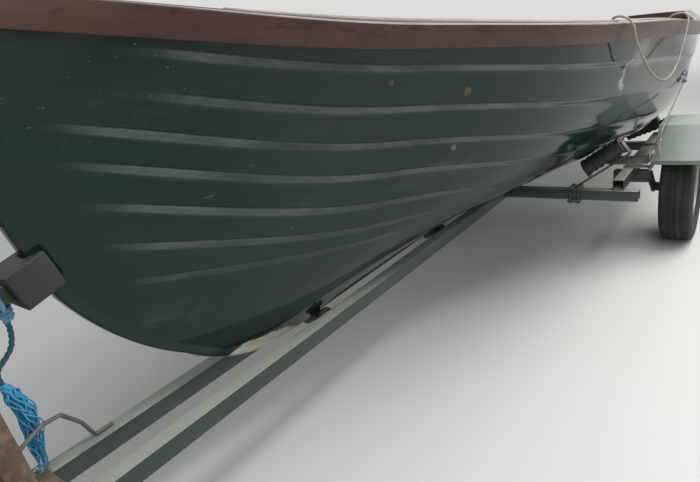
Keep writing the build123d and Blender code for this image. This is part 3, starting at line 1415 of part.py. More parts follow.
with BuildPart() as jockey_wheel:
    with BuildSketch(side_plane(jockey_y - CASTOR_WIDE / 2)):
        with Locations((castor_x, CASTOR_RADIUS)):
            Circle(CASTOR_RADIUS)
            Circle(SPINDLE_RADIUS + RUN, mode=Mode.SUBTRACT)
    extrude(amount=-CASTOR_WIDE)
    rims = jockey_wheel.edges().filter_by(GeomType.CIRCLE).sort_by(SortBy.RADIUS)
    fillet(rims[-2:], CASTOR_ROUND)
finish(jockey_wheel, "jockey_wheel")

# Free ropes: short runs joined by tangent arcs
ARC_SHARE = 0.45      # of the shorter run, taken up by each corner's arc


def corner_radii(points):
    radii = []
    for a, b, c in zip(points, points[1:], points[2:]):
        first = Vector(*b) - Vector(*a)
        second = Vector(*c) - Vector(*b)
        half_turn = math.radians(first.get_angle(second)) / 2
        radii.append(ARC_SHARE * min(first.length, second.length) / math.tan(half_turn))
    return radii


def free_rope(points, radius, label):
    """Rope along a route of points, with its radii and length printed."""
    radii = corner_radii(points)
    with BuildPart() as tube:
        with BuildLine() as route:
            FilletPolyline(*points, radius=radii)
        with BuildSketch(Plane(origin=route.line @ 0, z_dir=route.line % 0)):
            Circle(radius)
        sweep(path=route.wire())
    finish(tube, label)
    print(label, "length", round(route.wire().length), "radii", [round(r) for r in radii])


# Mooring line: from the middle thwart over the port gunwale, down in a loop along the
# topside, back over the gunwale and down to the thwart
LINE_RADIUS = 4.5
LINE_POINTS = [
    (-560, 600, 961),
    (-495, 655, 962),
    (-425, 695, 962),
    (-345, 716, 978),
    (-250, 712, 1012),
    (-150, 702, 1060),
    (-50, 696, 1112),
    (42, 700, 1160),
    (97, 718, 1195),
    (128, 748, 1202),
    (140, 783, 1187),
    (132, 798, 1158),
    (112, 799, 1118),
    (66, 804, 1078),
    (8, 811, 1036),
    (-55, 819, 992),
    (-130, 829, 955),
    (-215, 839, 930),
    (-300, 849, 922),
    (-385, 859, 938),
    (-452, 868, 976),
    (-495, 874, 1022),
    (-532, 880, 1068),
    (-562, 884, 1112),
    (-582, 886, 1150),
    (-592, 870, 1167),
    (-598, 838, 1171),
    (-600, 808, 1158),
    (-600, 790, 1120),
    (-592, 778, 1066),
    (-580, 758, 1012),
    (-560, 726, 974),
    (-520, 700, 962),
]
free_rope(LINE_POINTS, LINE_RADIUS, "mooring_line")

# Loose tail of the winch rope, hitched to the snubber's arm, with its frayed end
TAIL_RADIUS = 6
TAIL_POINTS = [
    (1996, 0, 847),
    (1994, -10, 812),
    (1992, -20, 776),
    (2000, -28, 744),
    (2020, -33, 724),
    (2040, -37, 706),
    (2040, -37, 676),
]
free_rope(TAIL_POINTS, TAIL_RADIUS, "winch_rope_tail")
# columns: x, y, height and radius of the frayed bunch
FRAY = [
    (2040, -37, 676, 8),
    (2026, -39, 640, 17),
    (2014, -41, 570, 22),
    (2024, -42, 500, 19),
    (2023, -43, 436, 9),
]
with BuildPart() as winch_rope_fray:
    for x, y, z, radius in FRAY:
        with BuildSketch(Plane.XY.offset(z)):
            with Locations((x, y)):
                Circle(radius)
    loft(ruled=True)
finish(winch_rope_fray, "winch_rope_fray")
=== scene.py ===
"""Open clinker-style fishing boat on its road trailer: skins, finishes, ropes and studio."""
import json
import math

import bmesh
import bpy
from bpy.props import FloatProperty, FloatVectorProperty, IntProperty, PointerProperty
from bpy.types import Operator, Panel, PropertyGroup
from mathutils import Matrix, Vector
from mathutils.bvhtree import BVHTree

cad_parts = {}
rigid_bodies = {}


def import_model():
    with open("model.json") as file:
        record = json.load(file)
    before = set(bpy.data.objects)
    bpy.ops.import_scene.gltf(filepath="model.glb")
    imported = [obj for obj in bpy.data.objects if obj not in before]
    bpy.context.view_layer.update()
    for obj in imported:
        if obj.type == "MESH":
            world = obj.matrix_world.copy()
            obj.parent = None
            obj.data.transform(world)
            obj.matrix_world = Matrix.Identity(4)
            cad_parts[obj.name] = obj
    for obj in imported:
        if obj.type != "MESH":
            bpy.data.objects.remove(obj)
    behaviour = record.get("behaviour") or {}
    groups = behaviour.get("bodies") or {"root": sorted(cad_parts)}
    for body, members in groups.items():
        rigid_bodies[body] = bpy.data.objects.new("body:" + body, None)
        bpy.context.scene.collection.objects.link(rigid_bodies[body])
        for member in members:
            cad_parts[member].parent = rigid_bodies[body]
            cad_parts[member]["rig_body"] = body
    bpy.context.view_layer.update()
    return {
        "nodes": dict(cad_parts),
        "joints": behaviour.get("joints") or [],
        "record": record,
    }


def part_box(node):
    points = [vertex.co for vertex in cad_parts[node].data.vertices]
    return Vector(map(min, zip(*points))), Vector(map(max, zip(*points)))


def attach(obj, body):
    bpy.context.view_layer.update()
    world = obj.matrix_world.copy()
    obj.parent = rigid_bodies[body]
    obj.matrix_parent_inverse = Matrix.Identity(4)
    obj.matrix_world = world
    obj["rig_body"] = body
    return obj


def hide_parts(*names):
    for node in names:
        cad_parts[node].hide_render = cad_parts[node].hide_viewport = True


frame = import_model()
NODES = frame["nodes"]

bl_info = {
    "name": "Clinker boat on trailer",
    "version": (1, 0, 0),
    "blender": (4, 5, 0),
    "location": "View3D > Sidebar > Boat",
    "description": "Builds the visible skins, finishes, ropes and studio of the boat",
    "category": "Object",
}

HULL_BODY = "boat_and_chassis"

# Hull form, in metres, as the solids have it
WALL = 0.010
LAND_STEP = 0.007
KEEL_HALF = 0.018
KEEL_BOTTOM = 0.400
KEEL_DEEP = 0.070
PLANK_EMBED = 0.008
KEELSON_TOP = 0.050
BOW_TANGENT = 0.050
ROOT_FULLNESS = 0.478
SHEER_FULLNESS = 0.638
# columns: x, height of the garboard's root, half breadth and height of the sheer,
# deadrise at the keel and flare at the sheer in degrees
STATIONS = [
    (-3.035, 0.425, 0.628, 1.140, 13.5, 6.3),
    (-2.185, 0.420, 0.757, 1.113, 13.6, 7.1),
    (-1.285, 0.415, 0.865, 1.106, 15.0, 6.0),
    (-0.385, 0.410, 0.840, 1.156, 21.5, 16.0),
    (0.315, 0.406, 0.708, 1.194, 29.5, 23.3),
    (0.965, 0.403, 0.446, 1.264, 42.2, 29.6),
]
# columns: share of the girth at the stern, share at the last station, height on the stem;
# the first row is the root, the second the middle of the garboard, the last the sheer
LAPS = [
    (0.0, 0.0, 0.400),
    (0.066, 0.148, 0.535),
    (0.133, 0.295, 0.815),
    (0.264, 0.347, 0.925),
    (0.392, 0.424, 1.033),
    (0.509, 0.524, 1.123),
    (0.610, 0.624, 1.198),
    (0.728, 0.735, 1.272),
    (0.847, 0.859, 1.345),
    (1.0, 1.0, 1.435),
]
FIRST_LAP = 2
LAST_ROW = len(LAPS) - 2
# places up the girth are counted in rows of LAPS, and this is the sheer's
SHEER_Q = len(LAPS) - 1.0
# steps up the girth and along the skin that directions are taken over
Q_STEP = 0.02
S_STEP = 0.01
STEM_KEEL_END = (1.335, KEEL_BOTTOM)
STEM_TOE = (1.496, 0.440)
STEM_FOREFOOT = (1.645, 0.535)
STEM_BREAST = (1.802, 0.675)
STEM_CHIN = (1.896, 0.815)
STEM_THROAT = (1.948, 1.000)
STEM_HEAD = (1.981, 1.452)
ENTRANCE_LOW = 0.205
ENTRANCE_HIGH = 0.523
TRANSOM_X = STATIONS[0][0]
TRANSOM_THICK = 0.028
LAST_X = STATIONS[-1][0]
STEM_LAND = 0.002
# shares of the run from the last station to the stem: a lap's step dies out over the first,
# and is gone at the second on rows above FADE_ROW and at the third on the rest
LAP_RUN_OUT = 0.28
FADE_ENDS = (0.76, 0.94)
FADE_ROW = 6
# places on a plank beyond its lap's ramp, and how far the painted shade line above each ramp
# reaches
PLANK_SHARES = (0.0, 0.03, 0.08, 0.22, 0.42, 0.62, 0.82)
SHADE_LINE_SHARE = 0.05
INNER_POINTS = 40


def along(a, b, t):
    return a + (b - a) * t


def smooth_step(t):
    t = min(max(t, 0.0), 1.0)
    return t * t * (3 - 2 * t)


def hermite(a, slope_a, b, slope_b, t):
    """Cubic from a to b with the given slopes at its ends."""
    rise = a * (2 * t**3 - 3 * t**2 + 1) + b * (3 * t**2 - 2 * t**3)
    return rise + slope_a * (t**3 - 2 * t**2 + t) + slope_b * (t**3 - t**2)


def arc_centre(low, middle, high):
    """Centre and radius of the arc through three points of x and z."""
    (x1, z1), (x2, z2), (x3, z3) = low, middle, high
    d = 2 * (x1 * (z2 - z3) + x2 * (z3 - z1) + x3 * (z1 - z2))
    q1, q2, q3 = (x * x + h * h for x, h in (low, middle, high))
    cx = (q1 * (z2 - z3) + q2 * (z3 - z1) + q3 * (z1 - z2)) / d
    cz = (q1 * (x3 - x2) + q2 * (x1 - x3) + q3 * (x2 - x1)) / d
    return cx, cz, math.hypot(x1 - cx, z1 - cz)


def arc_point(low, middle, high, t):
    """Point at t of the way along the arc through three points."""
    cx, cz, radius = arc_centre(low, middle, high)
    start = math.atan2(low[1] - cz, low[0] - cx)
    end = math.atan2(high[1] - cz, high[0] - cx)
    angle = along(start, end, t)
    return cx + radius * math.cos(angle), cz + radius * math.sin(angle)


def stem_point(q):
    """Point of the stem's face for a place q on the girth."""
    if q < 1:
        return arc_point(STEM_KEEL_END, STEM_TOE, STEM_FOREFOOT, q)
    if q < FIRST_LAP:
        return arc_point(STEM_FOREFOOT, STEM_BREAST, STEM_CHIN, q - 1)
    row = min(int(q), LAST_ROW)
    z = along(LAPS[row][2], LAPS[row + 1][2], q - row)
    cx, cz, radius = arc_centre(STEM_CHIN, STEM_THROAT, STEM_HEAD)
    return cx + math.sqrt(radius**2 - (z - cz) ** 2), z


def station_row(x):
    """Row of the table at x, on a smooth curve through its neighbours."""
    last = len(STATIONS) - 2
    i = 0
    while i < last and x > STATIONS[i + 1][0]:
        i += 1
    low, high = STATIONS[i], STATIONS[i + 1]
    before, after = STATIONS[max(i - 1, 0)], STATIONS[min(i + 2, last + 1)]
    span = high[0] - low[0]
    t = (x - low[0]) / span
    row = [x]
    for a, b, c, d in list(zip(before, low, high, after))[1:]:
        slope_low = (c - a) / (high[0] - before[0]) * span
        slope_high = (d - b) / (after[0] - low[0]) * span
        row.append(hermite(b, slope_low, c, slope_high, t))
    return row


class Girth:
    """Section curve of the skin at x, which gives points by their share of its length."""

    STEPS = 90

    def __init__(self, x):
        _, root_z, sheer_y, sheer_z, deadrise, flare = station_row(x)
        root, sheer = Vector((PLANK_EMBED, root_z)), Vector((sheer_y, sheer_z))
        chord = (sheer - root).length
        dead, lean = math.radians(deadrise), math.radians(flare)
        low = root + ROOT_FULLNESS * chord * Vector((math.cos(dead), math.sin(dead)))
        high = sheer - SHEER_FULLNESS * chord * Vector((math.sin(lean), math.cos(lean)))
        self.x = x
        self.points = []
        for i in range(self.STEPS + 1):
            t = i / self.STEPS
            weights = ((1 - t) ** 3, 3 * (1 - t) ** 2 * t, 3 * (1 - t) * t * t, t**3)
            handles = zip(weights, (root, low, high, sheer))
            self.points.append(sum((w * p for w, p in handles), Vector((0, 0))))
        self.lengths = [0.0]
        for a, b in zip(self.points, self.points[1:]):
            self.lengths.append(self.lengths[-1] + (b - a).length)

    def share(self, q):
        """Share of the girth at q."""
        row = min(int(q), LAST_ROW)
        fore = (self.x - TRANSOM_X) / (LAST_X - TRANSOM_X)
        ends = [along(LAPS[k][0], LAPS[k][1], fore) for k in (row, row + 1)]
        return along(ends[0], ends[1], q - row)

    def at(self, q, inset=0.0):
        """Point at q, moved in from the outer face by inset."""
        target = self.share(q) * self.lengths[-1]
        i = 0
        while i < self.STEPS - 1 and self.lengths[i + 1] < target:
            i += 1
        a, b = self.points[i], self.points[i + 1]
        t = (target - self.lengths[i]) / (self.lengths[i + 1] - self.lengths[i])
        run = (b - a).normalized()
        place = a.lerp(b, t) - inset * Vector((run.y, -run.x))
        return Vector((self.x, place.x, place.y))


GIRTHS = {}


def girth(x):
    """The section at x, worked out once."""
    key = round(x, 5)
    if key not in GIRTHS:
        GIRTHS[key] = Girth(x)
    return GIRTHS[key]


def stem_meeting(q, inset):
    """Point where the skin ends inside the stem."""
    x, z = stem_point(q)
    x_low, z_low = stem_point(max(q - Q_STEP, 0.0))
    x_high, z_high = stem_point(min(q + Q_STEP, SHEER_Q))
    tangent = Vector((x_high - x_low, 0, z_high - z_low)).normalized()
    entrance = along(ENTRANCE_LOW, ENTRANCE_HIGH, z - KEEL_BOTTOM)
    depth = STEM_LAND + inset / math.sin(math.atan(entrance))
    return Vector((x, PLANK_EMBED, z)) + Vector((-tangent.z, 0, tangent.x)) * depth


def skin_point(s, q, inset=0.0):
    """Point of the port skin: s is x as far as the last station, and then 1 m more is the stem."""
    if s <= LAST_X:
        return girth(s).at(q, inset)
    t = s - LAST_X
    behind = girth(LAST_X - BOW_TANGENT).at(q, inset)
    last = girth(LAST_X).at(q, inset)
    stem = stem_meeting(q, inset)
    length = stem.x - last.x
    entrance = along(ENTRANCE_LOW, ENTRANCE_HIGH, stem.z - KEEL_BOTTOM)
    leave = (last - behind) * (length / (last.x - behind.x))
    meet = Vector((length, -entrance * length, stem.z - last.z))
    return hermite(last, leave, stem, meet, t)


def skin_frame(s, q):
    """Outer point of the skin with its directions aft to fore, up the girth and out."""
    here = skin_point(s, q)
    ahead, behind = skin_point(min(s + S_STEP, LAST_X + 1), q), skin_point(s - S_STEP, q)
    above, below = skin_point(s, min(q + Q_STEP, SHEER_Q)), skin_point(s, max(q - Q_STEP, 0.0))
    fore, up = (ahead - behind).normalized(), (above - below).normalized()
    return here, fore, up, up.cross(fore).normalized()


# Mesh helpers

MERGE = 1e-6


def linked(name, data):
    """Object around mesh, curve, lamp or camera data, in the scene."""
    piece = bpy.data.objects.new(name, data)
    bpy.context.scene.collection.objects.link(piece)
    return piece


def placed(name, data, slot, body, materials):
    """Object around finished mesh data, riding on its body."""
    piece = linked(name, data)
    for material in materials:
        data.materials.append(material)
    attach(piece, body)
    return piece


def finished(name, mesh, slot, body=HULL_BODY, materials=(), sharp=None):
    """Object from a bmesh, with clean outward faces; edges past sharp degrees stay crisp."""
    bmesh.ops.remove_doubles(mesh, verts=mesh.verts, dist=MERGE)
    bmesh.ops.recalc_face_normals(mesh, faces=mesh.faces)
    for face in mesh.faces:
        face.smooth = True
    data = bpy.data.meshes.new(name)
    mesh.to_mesh(data)
    mesh.free()
    if sharp:
        data.set_sharp_from_angle(angle=math.radians(sharp))
    return placed(name, data, slot, body, materials or [finish_for(slot)])


def only_verts(geometry):
    """The vertices among what an operator gives back."""
    return [g for g in geometry if isinstance(g, bmesh.types.BMVert)]


def grid_skin(mesh, rows, columns, place, material=None):
    """Sheet shaped by place(row, column) from a flat grid; returns each point's row and column."""
    made = bmesh.ops.create_grid(mesh, x_segments=rows - 1, y_segments=columns - 1, size=1)["verts"]
    faces = {face for v in made for face in v.link_faces}
    cells = {}
    for v in made:
        i = round((v.co.x + 1) / 2 * (rows - 1))
        j = round((v.co.y + 1) / 2 * (columns - 1))
        cells[v] = (i, j)
    if material:
        for face in faces:
            corners = [cells[v] for v in face.verts]
            face.material_index = material(min(c[0] for c in corners), min(c[1] for c in corners))
    for v, (i, j) in cells.items():
        v.co = place(i, j)
    return cells


def close_ends(mesh):
    """Cap every open loop of a mesh with one face."""
    bmesh.ops.remove_doubles(mesh, verts=mesh.verts, dist=MERGE)
    rims = [edge for edge in mesh.edges if edge.is_boundary]
    bmesh.ops.edgeloop_fill(mesh, edges=rims)


def mirror_sides(mesh):
    """Add the starboard twin of a port shape, across the centre line."""
    geometry = list(mesh.verts) + list(mesh.edges) + list(mesh.faces)
    twin = bmesh.ops.duplicate(mesh, geom=geometry)["geom"]
    bmesh.ops.scale(mesh, vec=(1, -1, 1), verts=only_verts(twin))


def rounded(section, radius, steps=3):
    """Closed polygon of 2-D points with each corner turned into an arc."""
    outline = []
    count = len(section)
    for k in range(count):
        here = Vector(section[k])
        before, after = Vector(section[k - 1]), Vector(section[(k + 1) % count])
        a, b = (before - here).normalized(), (after - here).normalized()
        reach = min(radius, (before - here).length / 2, (after - here).length / 2)
        start, end = here + a * reach, here + b * reach
        for m in range(steps + 1):
            t = m / steps
            outline.append(start * (1 - t) ** 2 + here * 2 * t * (1 - t) + end * t * t)
    return outline


def swept_strip(name, stations, frame_at, outline):
    """Timber strip along both sides: frame_at gives its outline's origin and two axes."""
    mesh = bmesh.new()
    columns = len(outline) + 1

    def place(i, j):
        origin, first, second = frame_at(stations[i])
        x, y = outline[j % len(outline)]
        return origin + first * x + second * y

    grid_skin(mesh, len(stations), columns, place)
    close_ends(mesh)
    mirror_sides(mesh)
    return finished(name, mesh, "mahogany")


# Finishes


class Finish:
    """One procedural material: a principled surface that is fed from Object coordinates."""

    def __init__(self, name, roughness=0.5, metallic=0.0):
        self.material = bpy.data.materials.new(name)
        self.material.use_nodes = True
        self.tree = self.material.node_tree
        self.shader = self.tree.nodes["Principled BSDF"]
        self.shader.inputs["Roughness"].default_value = roughness
        self.shader.inputs["Metallic"].default_value = metallic
        self.place = self.node("ShaderNodeTexCoord").outputs["Object"]
        split = self.node("ShaderNodeSeparateXYZ")
        self.feed(split.inputs[0], self.place)
        self.x, self.y, self.z = split.outputs

    def node(self, kind, **settings):
        made = self.tree.nodes.new(kind)
        for key, value in settings.items():
            setattr(made, key, value)
        return made

    def feed(self, socket, value):
        """Link an output to a socket, or set the socket to a plain value."""
        if isinstance(value, bpy.types.NodeSocket):
            self.tree.links.new(value, socket)
        else:
            socket.default_value = value

    def stretched(self, scale):
        mapping = self.node("ShaderNodeMapping")
        self.feed(mapping.inputs["Vector"], self.place)
        mapping.inputs["Scale"].default_value = scale
        return mapping.outputs["Vector"]

    def noise(self, scale, detail=4.0, roughness=0.55, stretch=(1, 1, 1), twist=0.0):
        made = self.node("ShaderNodeTexNoise")
        self.feed(made.inputs["Vector"], self.stretched(stretch))
        made.inputs["Scale"].default_value = scale
        made.inputs["Detail"].default_value = detail
        made.inputs["Roughness"].default_value = roughness
        made.inputs["Distortion"].default_value = twist
        return made.outputs["Fac"]

    def cells(self, scale, stretch=(1, 1, 1)):
        made = self.node("ShaderNodeTexVoronoi")
        self.feed(made.inputs["Vector"], self.stretched(stretch))
        made.inputs["Scale"].default_value = scale
        return made.outputs["Distance"]

    def window(self, value, low, high, start=0.0, end=1.0):
        """Smooth rise from start at low to end at high."""
        made = self.node("ShaderNodeMapRange", interpolation_type="SMOOTHSTEP")
        self.feed(made.inputs["Value"], value)
        made.inputs["From Min"].default_value = low
        made.inputs["From Max"].default_value = high
        made.inputs["To Min"].default_value = start
        made.inputs["To Max"].default_value = end
        return made.outputs["Result"]

    def math(self, operation, a, b=0.0, c=0.0):
        made = self.node("ShaderNodeMath", operation=operation)
        for socket, value in zip(made.inputs, (a, b, c)):
            self.feed(socket, value)
        return made.outputs[0]

    def mix(self, share, a, b):
        """Colour between a and b, each a socket or a plain colour; 6 and 7 are colour sockets."""
        made = self.node("ShaderNodeMix", data_type="RGBA")
        self.feed(made.inputs[0], share)
        self.feed(made.inputs[6], a if isinstance(a, bpy.types.NodeSocket) else (*a, 1))
        self.feed(made.inputs[7], b if isinstance(b, bpy.types.NodeSocket) else (*b, 1))
        return made.outputs[2]

    def facing_up(self):
        """Upward part of the surface's direction."""
        split = self.node("ShaderNodeSeparateXYZ")
        self.feed(split.inputs[0], self.node("ShaderNodeNewGeometry").outputs["Normal"])
        return split.outputs[2]

    def band(self, value, middle, half, soft):
        """1 within half of middle, falling to 0 over soft."""
        off = self.math("ABSOLUTE", self.math("SUBTRACT", value, middle))
        return self.window(off, half + soft, half)

    def attribute(self, name):
        made = self.node("ShaderNodeAttribute", attribute_name=name)
        return made.outputs["Fac"]

    def away(self, place):
        """Distance from a place on the boat."""
        made = self.node("ShaderNodeVectorMath", operation="DISTANCE")
        self.feed(made.inputs[0], self.place)
        made.inputs[1].default_value = place
        return made.outputs["Value"]

    def bump(self, height, distance, under=None):
        made = self.node("ShaderNodeBump")
        made.inputs["Distance"].default_value = distance
        self.feed(made.inputs["Height"], height)
        if under:
            self.feed(made.inputs["Normal"], under)
        return made.outputs["Normal"]

    def done(self, color, roughness=None, normal=None):
        self.feed(self.shader.inputs["Base Color"], color)
        if roughness:
            self.feed(self.shader.inputs["Roughness"], roughness)
        if normal:
            self.feed(self.shader.inputs["Normal"], normal)
        return self.material


def blended(color, other, share):
    return tuple(along(a, b, share) for a, b in zip(color, other))


DUST = (0.30, 0.28, 0.24)
BLACK = (0.006, 0.006, 0.006)
WHITE = (0.8, 0.8, 0.78)
GUARD_TOP = (0.32, 0.355, 0.33)
# marks on the port topside: place, reach, softness, share and tone
SMUDGES = (
    ((1.016, 0.348, 1.122), 0.007, 0.004, 0.7, (0.10, 0.075, 0.05)),
    ((0.732, 0.378, 0.877), 0.008, 0.005, 0.7, (0.16, 0.15, 0.12)),
    ((0.748, 0.448, 1.055), 0.011, 0.004, 0.8, (0.11, 0.09, 0.06)),
    ((-0.160, 0.765, 1.060), 0.030, 0.070, 0.30, (0.42, 0.43, 0.40)),
)
CHALK_RING = (-0.115, 0.738, 0.975)


def lap_painted_light(f, color, lap_sheen):
    """Painted reflection: each lap's ramp paler in patches and more so higher up, with painted
    shade in the line above it; also gives the mask of the pale.
    """
    lap = f.attribute("lap")
    # the pale on each ramp is a painted reflection, broken into patches by noise and stronger
    # higher up
    patchy = f.window(f.noise(9.0, 5, 0.6, (0.3, 1, 1)), 0.30, 0.62, 0.35, 1.0)
    upper = f.window(f.z, 0.62, 0.92, 0.25, 1.0)
    pale = f.math("MULTIPLY", f.window(lap, 0.15, 0.85, 0.0, lap_sheen), patchy)
    pale = f.math("MULTIPLY", pale, upper)
    color = f.mix(pale, color, (0.26, 0.30, 0.28))
    # painted shade: a near-black line in the crease just above each ramp
    return f.mix(f.window(lap, -0.15, -0.85, 0.0, 0.75), color, (0.002, 0.004, 0.004)), pale


def marked_topside(f, color):
    """Pale specks under the gunwale at the bow, smudges, and half a chalked ring."""
    near_bow = f.math("MULTIPLY", f.window(f.x, 1.25, 1.65), f.window(f.z, 1.08, 1.26))
    fleck = f.window(f.noise(75.0, 5, 0.75, (0.6, 1, 1.4)), 0.655, 0.70)
    color = f.mix(f.math("MULTIPLY", fleck, near_bow), color, (0.30, 0.34, 0.35))
    for place, reach, soft, share, tone in SMUDGES:
        ragged = f.math("MULTIPLY_ADD", f.noise(60.0, 5, 0.7), reach, f.away(place))
        mark = f.window(ragged, reach * 1.5 + soft, reach * 1.5, 0.0, share)
        color = f.mix(mark, color, tone)
    ring = f.band(f.away(CHALK_RING), 0.050, 0.008, 0.016)
    ring = f.math("MULTIPLY", ring, f.window(f.x, CHALK_RING[0] - 0.02, CHALK_RING[0] + 0.02))
    worn = f.window(f.noise(30.0, 5, 0.7), 0.35, 0.60, 0.0, 0.8)
    return f.mix(f.math("MULTIPLY", ring, worn), color, (0.46, 0.50, 0.47))


def forefoot_scrape(f):
    """1 in the ragged band along the forefoot's bottom edge where the laminate shows."""
    rise = f.math("MAXIMUM", f.math("SUBTRACT", f.x, STEM_KEEL_END[0]), 0.0)
    bottom = f.math("MULTIPLY_ADD", f.math("MULTIPLY", rise, rise), 1.45, KEEL_BOTTOM)
    height = f.math("SUBTRACT", f.z, bottom)
    reach = f.math("MULTIPLY_ADD", f.band(f.x, 1.38, 0.04, 0.15), 0.055, -0.034)
    ragged = f.noise(24.0, 6, 0.7, (0.4, 1, 1.5))
    level = f.math("MULTIPLY_ADD", ragged, -0.05, f.math("SUBTRACT", height, reach))
    return f.math("MULTIPLY", f.window(level, 0.002, -0.003), f.window(f.x, 1.55, 1.50))


def green_gelcoat(name):
    """Deep green moulded gelcoat: waxy gloss, laps with painted reflection and painted shade,
    scratches and the scraped forefoot.
    """
    tints = bpy.context.scene.boat_hull
    f = Finish(name, roughness=0.10)
    green = tuple(tints.green)
    color = f.mix(f.noise(1.7, 2), blended(green, BLACK, 0.30), blended(green, DUST, 0.02))
    haze = f.window(f.noise(5.0, 6, 0.65, (0.5, 1, 1.6)), 0.56, 0.86, 0.0, 0.12)
    color = f.mix(haze, color, DUST)
    streak = f.window(f.noise(26.0, 3, 0.6, (0.16, 1, 2.4)), 0.735, 0.76, 0.0, 0.4)
    color = f.mix(streak, color, (0.16, 0.18, 0.16))
    # painted reflection on the lap ramps and painted shade above them
    color, pale = lap_painted_light(f, color, tints.lap_sheen)
    color = marked_topside(f, color)
    scraped = forefoot_scrape(f)
    cream = f.mix(f.noise(60.0, 4, 0.6, (0.3, 1, 1)), (0.50, 0.49, 0.40), (0.30, 0.29, 0.23))
    color = f.mix(scraped, color, cream)
    rough = f.window(scraped, 0, 1, 0.09, 0.6)
    # the painted reflection's mask also roughens the ramps
    rough = f.math("ADD", rough, f.math("MULTIPLY", f.math("ADD", haze, pale), 0.55))
    f.shader.inputs["IOR"].default_value = 1.37
    fair = f.bump(f.noise(1.9, 2, 0.5, (1.0, 1.6, 1.6)), 0.006)
    peel = f.bump(f.noise(55.0, 2), 0.00015, fair)
    return f.done(color, rough, f.bump(scraped, -0.0008, peel))


def inner_laminate(name):
    """Pale flow coat inside the hull, with dust and leaves' stain low down."""
    f = Finish(name, roughness=0.55)
    pale = tuple(bpy.context.scene.boat_hull.inside)
    grime = f.window(f.noise(3.0, 7, 0.65), 0.42, 0.70, 0.0, 0.55)
    low = f.window(f.z, 0.85, 0.50, 0.0, 0.75)
    color = f.mix(f.math("MULTIPLY", grime, low), pale, (0.14, 0.12, 0.09))
    color = f.mix(f.window(f.noise(18.0, 6), 0.52, 0.75, 0.0, 0.35), color, (0.22, 0.21, 0.18))
    return f.done(color, None, f.bump(f.noise(140.0, 2, 0.5), 0.0006))


GUNWALE_CHIP = (0.082, 0.757, 1.153)


def varnished_wood(name, color, along_axis, pale):
    """Timber with grain along one axis, worn varnish, and upper faces paler, partly weathered and
    partly a painted sheen.
    """
    f = Finish(name, roughness=0.32)
    fine = [34.0, 34.0, 34.0]
    broad = [7.0, 7.0, 7.0]
    fine["xyz".index(along_axis)] = 1.1
    broad["xyz".index(along_axis)] = 0.35
    rings = f.noise(1.0, 5, 0.6, fine, 0.6)
    figure = f.noise(1.0, 3, 0.5, broad, 1.2)
    base = f.mix(figure, blended(color, BLACK, 0.35), blended(color, (0.30, 0.14, 0.08), 0.22))
    base = f.mix(f.window(rings, 0.50, 0.68, 0.0, 0.55), base, blended(color, BLACK, 0.65))
    # upper faces paler: partly bleaching, partly a painted sheen; pale sets how much
    bleached_and_sheen = f.math("MULTIPLY", f.window(f.facing_up(), 0.55, 0.95), f.noise(5.0, 4, 0.6))
    base = f.mix(f.math("MULTIPLY", bleached_and_sheen, pale), base, (0.52, 0.47, 0.40))
    worn = f.window(f.noise(9.0, 6, 0.7, (0.4, 1, 1)), 0.56, 0.72, 0.0, 0.35)
    base = f.mix(worn, base, blended(color, (0.34, 0.22, 0.15), 0.4))
    spots = f.window(f.cells(3.1, (0.7, 1, 1)), 0.050, 0.035)
    base = f.mix(f.math("MULTIPLY", spots, 0.7), base, (0.60, 0.58, 0.52))
    if along_axis == "x":
        ragged = f.math("MULTIPLY_ADD", f.noise(70.0, 5, 0.7), 0.014, f.away(GUNWALE_CHIP))
        base = f.mix(f.window(ragged, 0.026, 0.020), base, (0.40, 0.33, 0.26))
        base = f.mix(f.window(ragged, 0.016, 0.013), base, (0.010, 0.007, 0.006))
    f.shader.inputs["IOR"].default_value = 1.40
    rough = f.math("MULTIPLY_ADD", worn, 0.6, 0.32)
    return f.done(base, rough, f.bump(rings, 0.0009))


def trailer_paint(name, color, top, rust):
    """Brushed enamel on steel: scuffed pale on top, chipped to rust here and there."""
    f = Finish(name, roughness=0.42)
    base = f.mix(f.noise(4.0, 5, 0.6), blended(color, BLACK, 0.25), blended(color, DUST, 0.12))
    scuff = f.noise(7.0, 7, 0.7, (0.35, 1, 1))
    worn = f.window(scuff, 0.28, 0.55, 0.60, 1.0)
    upper = f.math("MULTIPLY", f.window(f.facing_up(), 0.5, 0.9), worn)
    base = f.mix(upper, base, top)
    chip = f.window(f.noise(38.0, 6, 0.75), 0.655, 0.69)
    base = f.mix(f.math("MULTIPLY", chip, rust * 2), base, (0.13, 0.060, 0.032))
    bloom = f.window(f.noise(3.1, 5, 0.7), 0.60, 0.78, 0.0, rust)
    base = f.mix(bloom, base, (0.16, 0.085, 0.050))
    rough = f.math("MULTIPLY_ADD", upper, 0.30, 0.40)
    brushed = f.bump(f.noise(90.0, 3, 0.6, (0.15, 1, 1)), 0.0004)
    return f.done(base, rough, f.bump(chip, -0.0005, brushed))


def rusty_steel(name):
    """Thin brown rust over old paint."""
    f = Finish(name, roughness=0.8)
    coarse = f.noise(11.0, 7, 0.7)
    base = f.mix(f.window(coarse, 0.35, 0.65), (0.085, 0.050, 0.034), (0.20, 0.135, 0.095))
    base = f.mix(f.window(f.noise(30.0, 6, 0.7), 0.55, 0.7, 0.0, 0.6), base, (0.14, 0.055, 0.026))
    base = f.mix(f.window(f.noise(6.0, 4), 0.60, 0.68, 0.0, 0.5), base, (0.05, 0.075, 0.065))
    return f.done(base, None, f.bump(f.noise(60.0, 6, 0.7), 0.0012))


def zinc_steel(name):
    """Galvanised fittings, dulled in patches and lightly rusted."""
    f = Finish(name, roughness=0.42, metallic=0.85)
    base = f.mix(f.cells(60.0), (0.38, 0.39, 0.40), (0.26, 0.27, 0.27))
    base = f.mix(f.window(f.noise(14.0, 6, 0.7), 0.55, 0.72, 0.0, 0.7), base, (0.12, 0.075, 0.045))
    rough = f.window(f.noise(20.0, 5), 0.3, 0.7, 0.34, 0.62)
    return f.done(base, rough, f.bump(f.noise(80.0, 3), 0.0004))


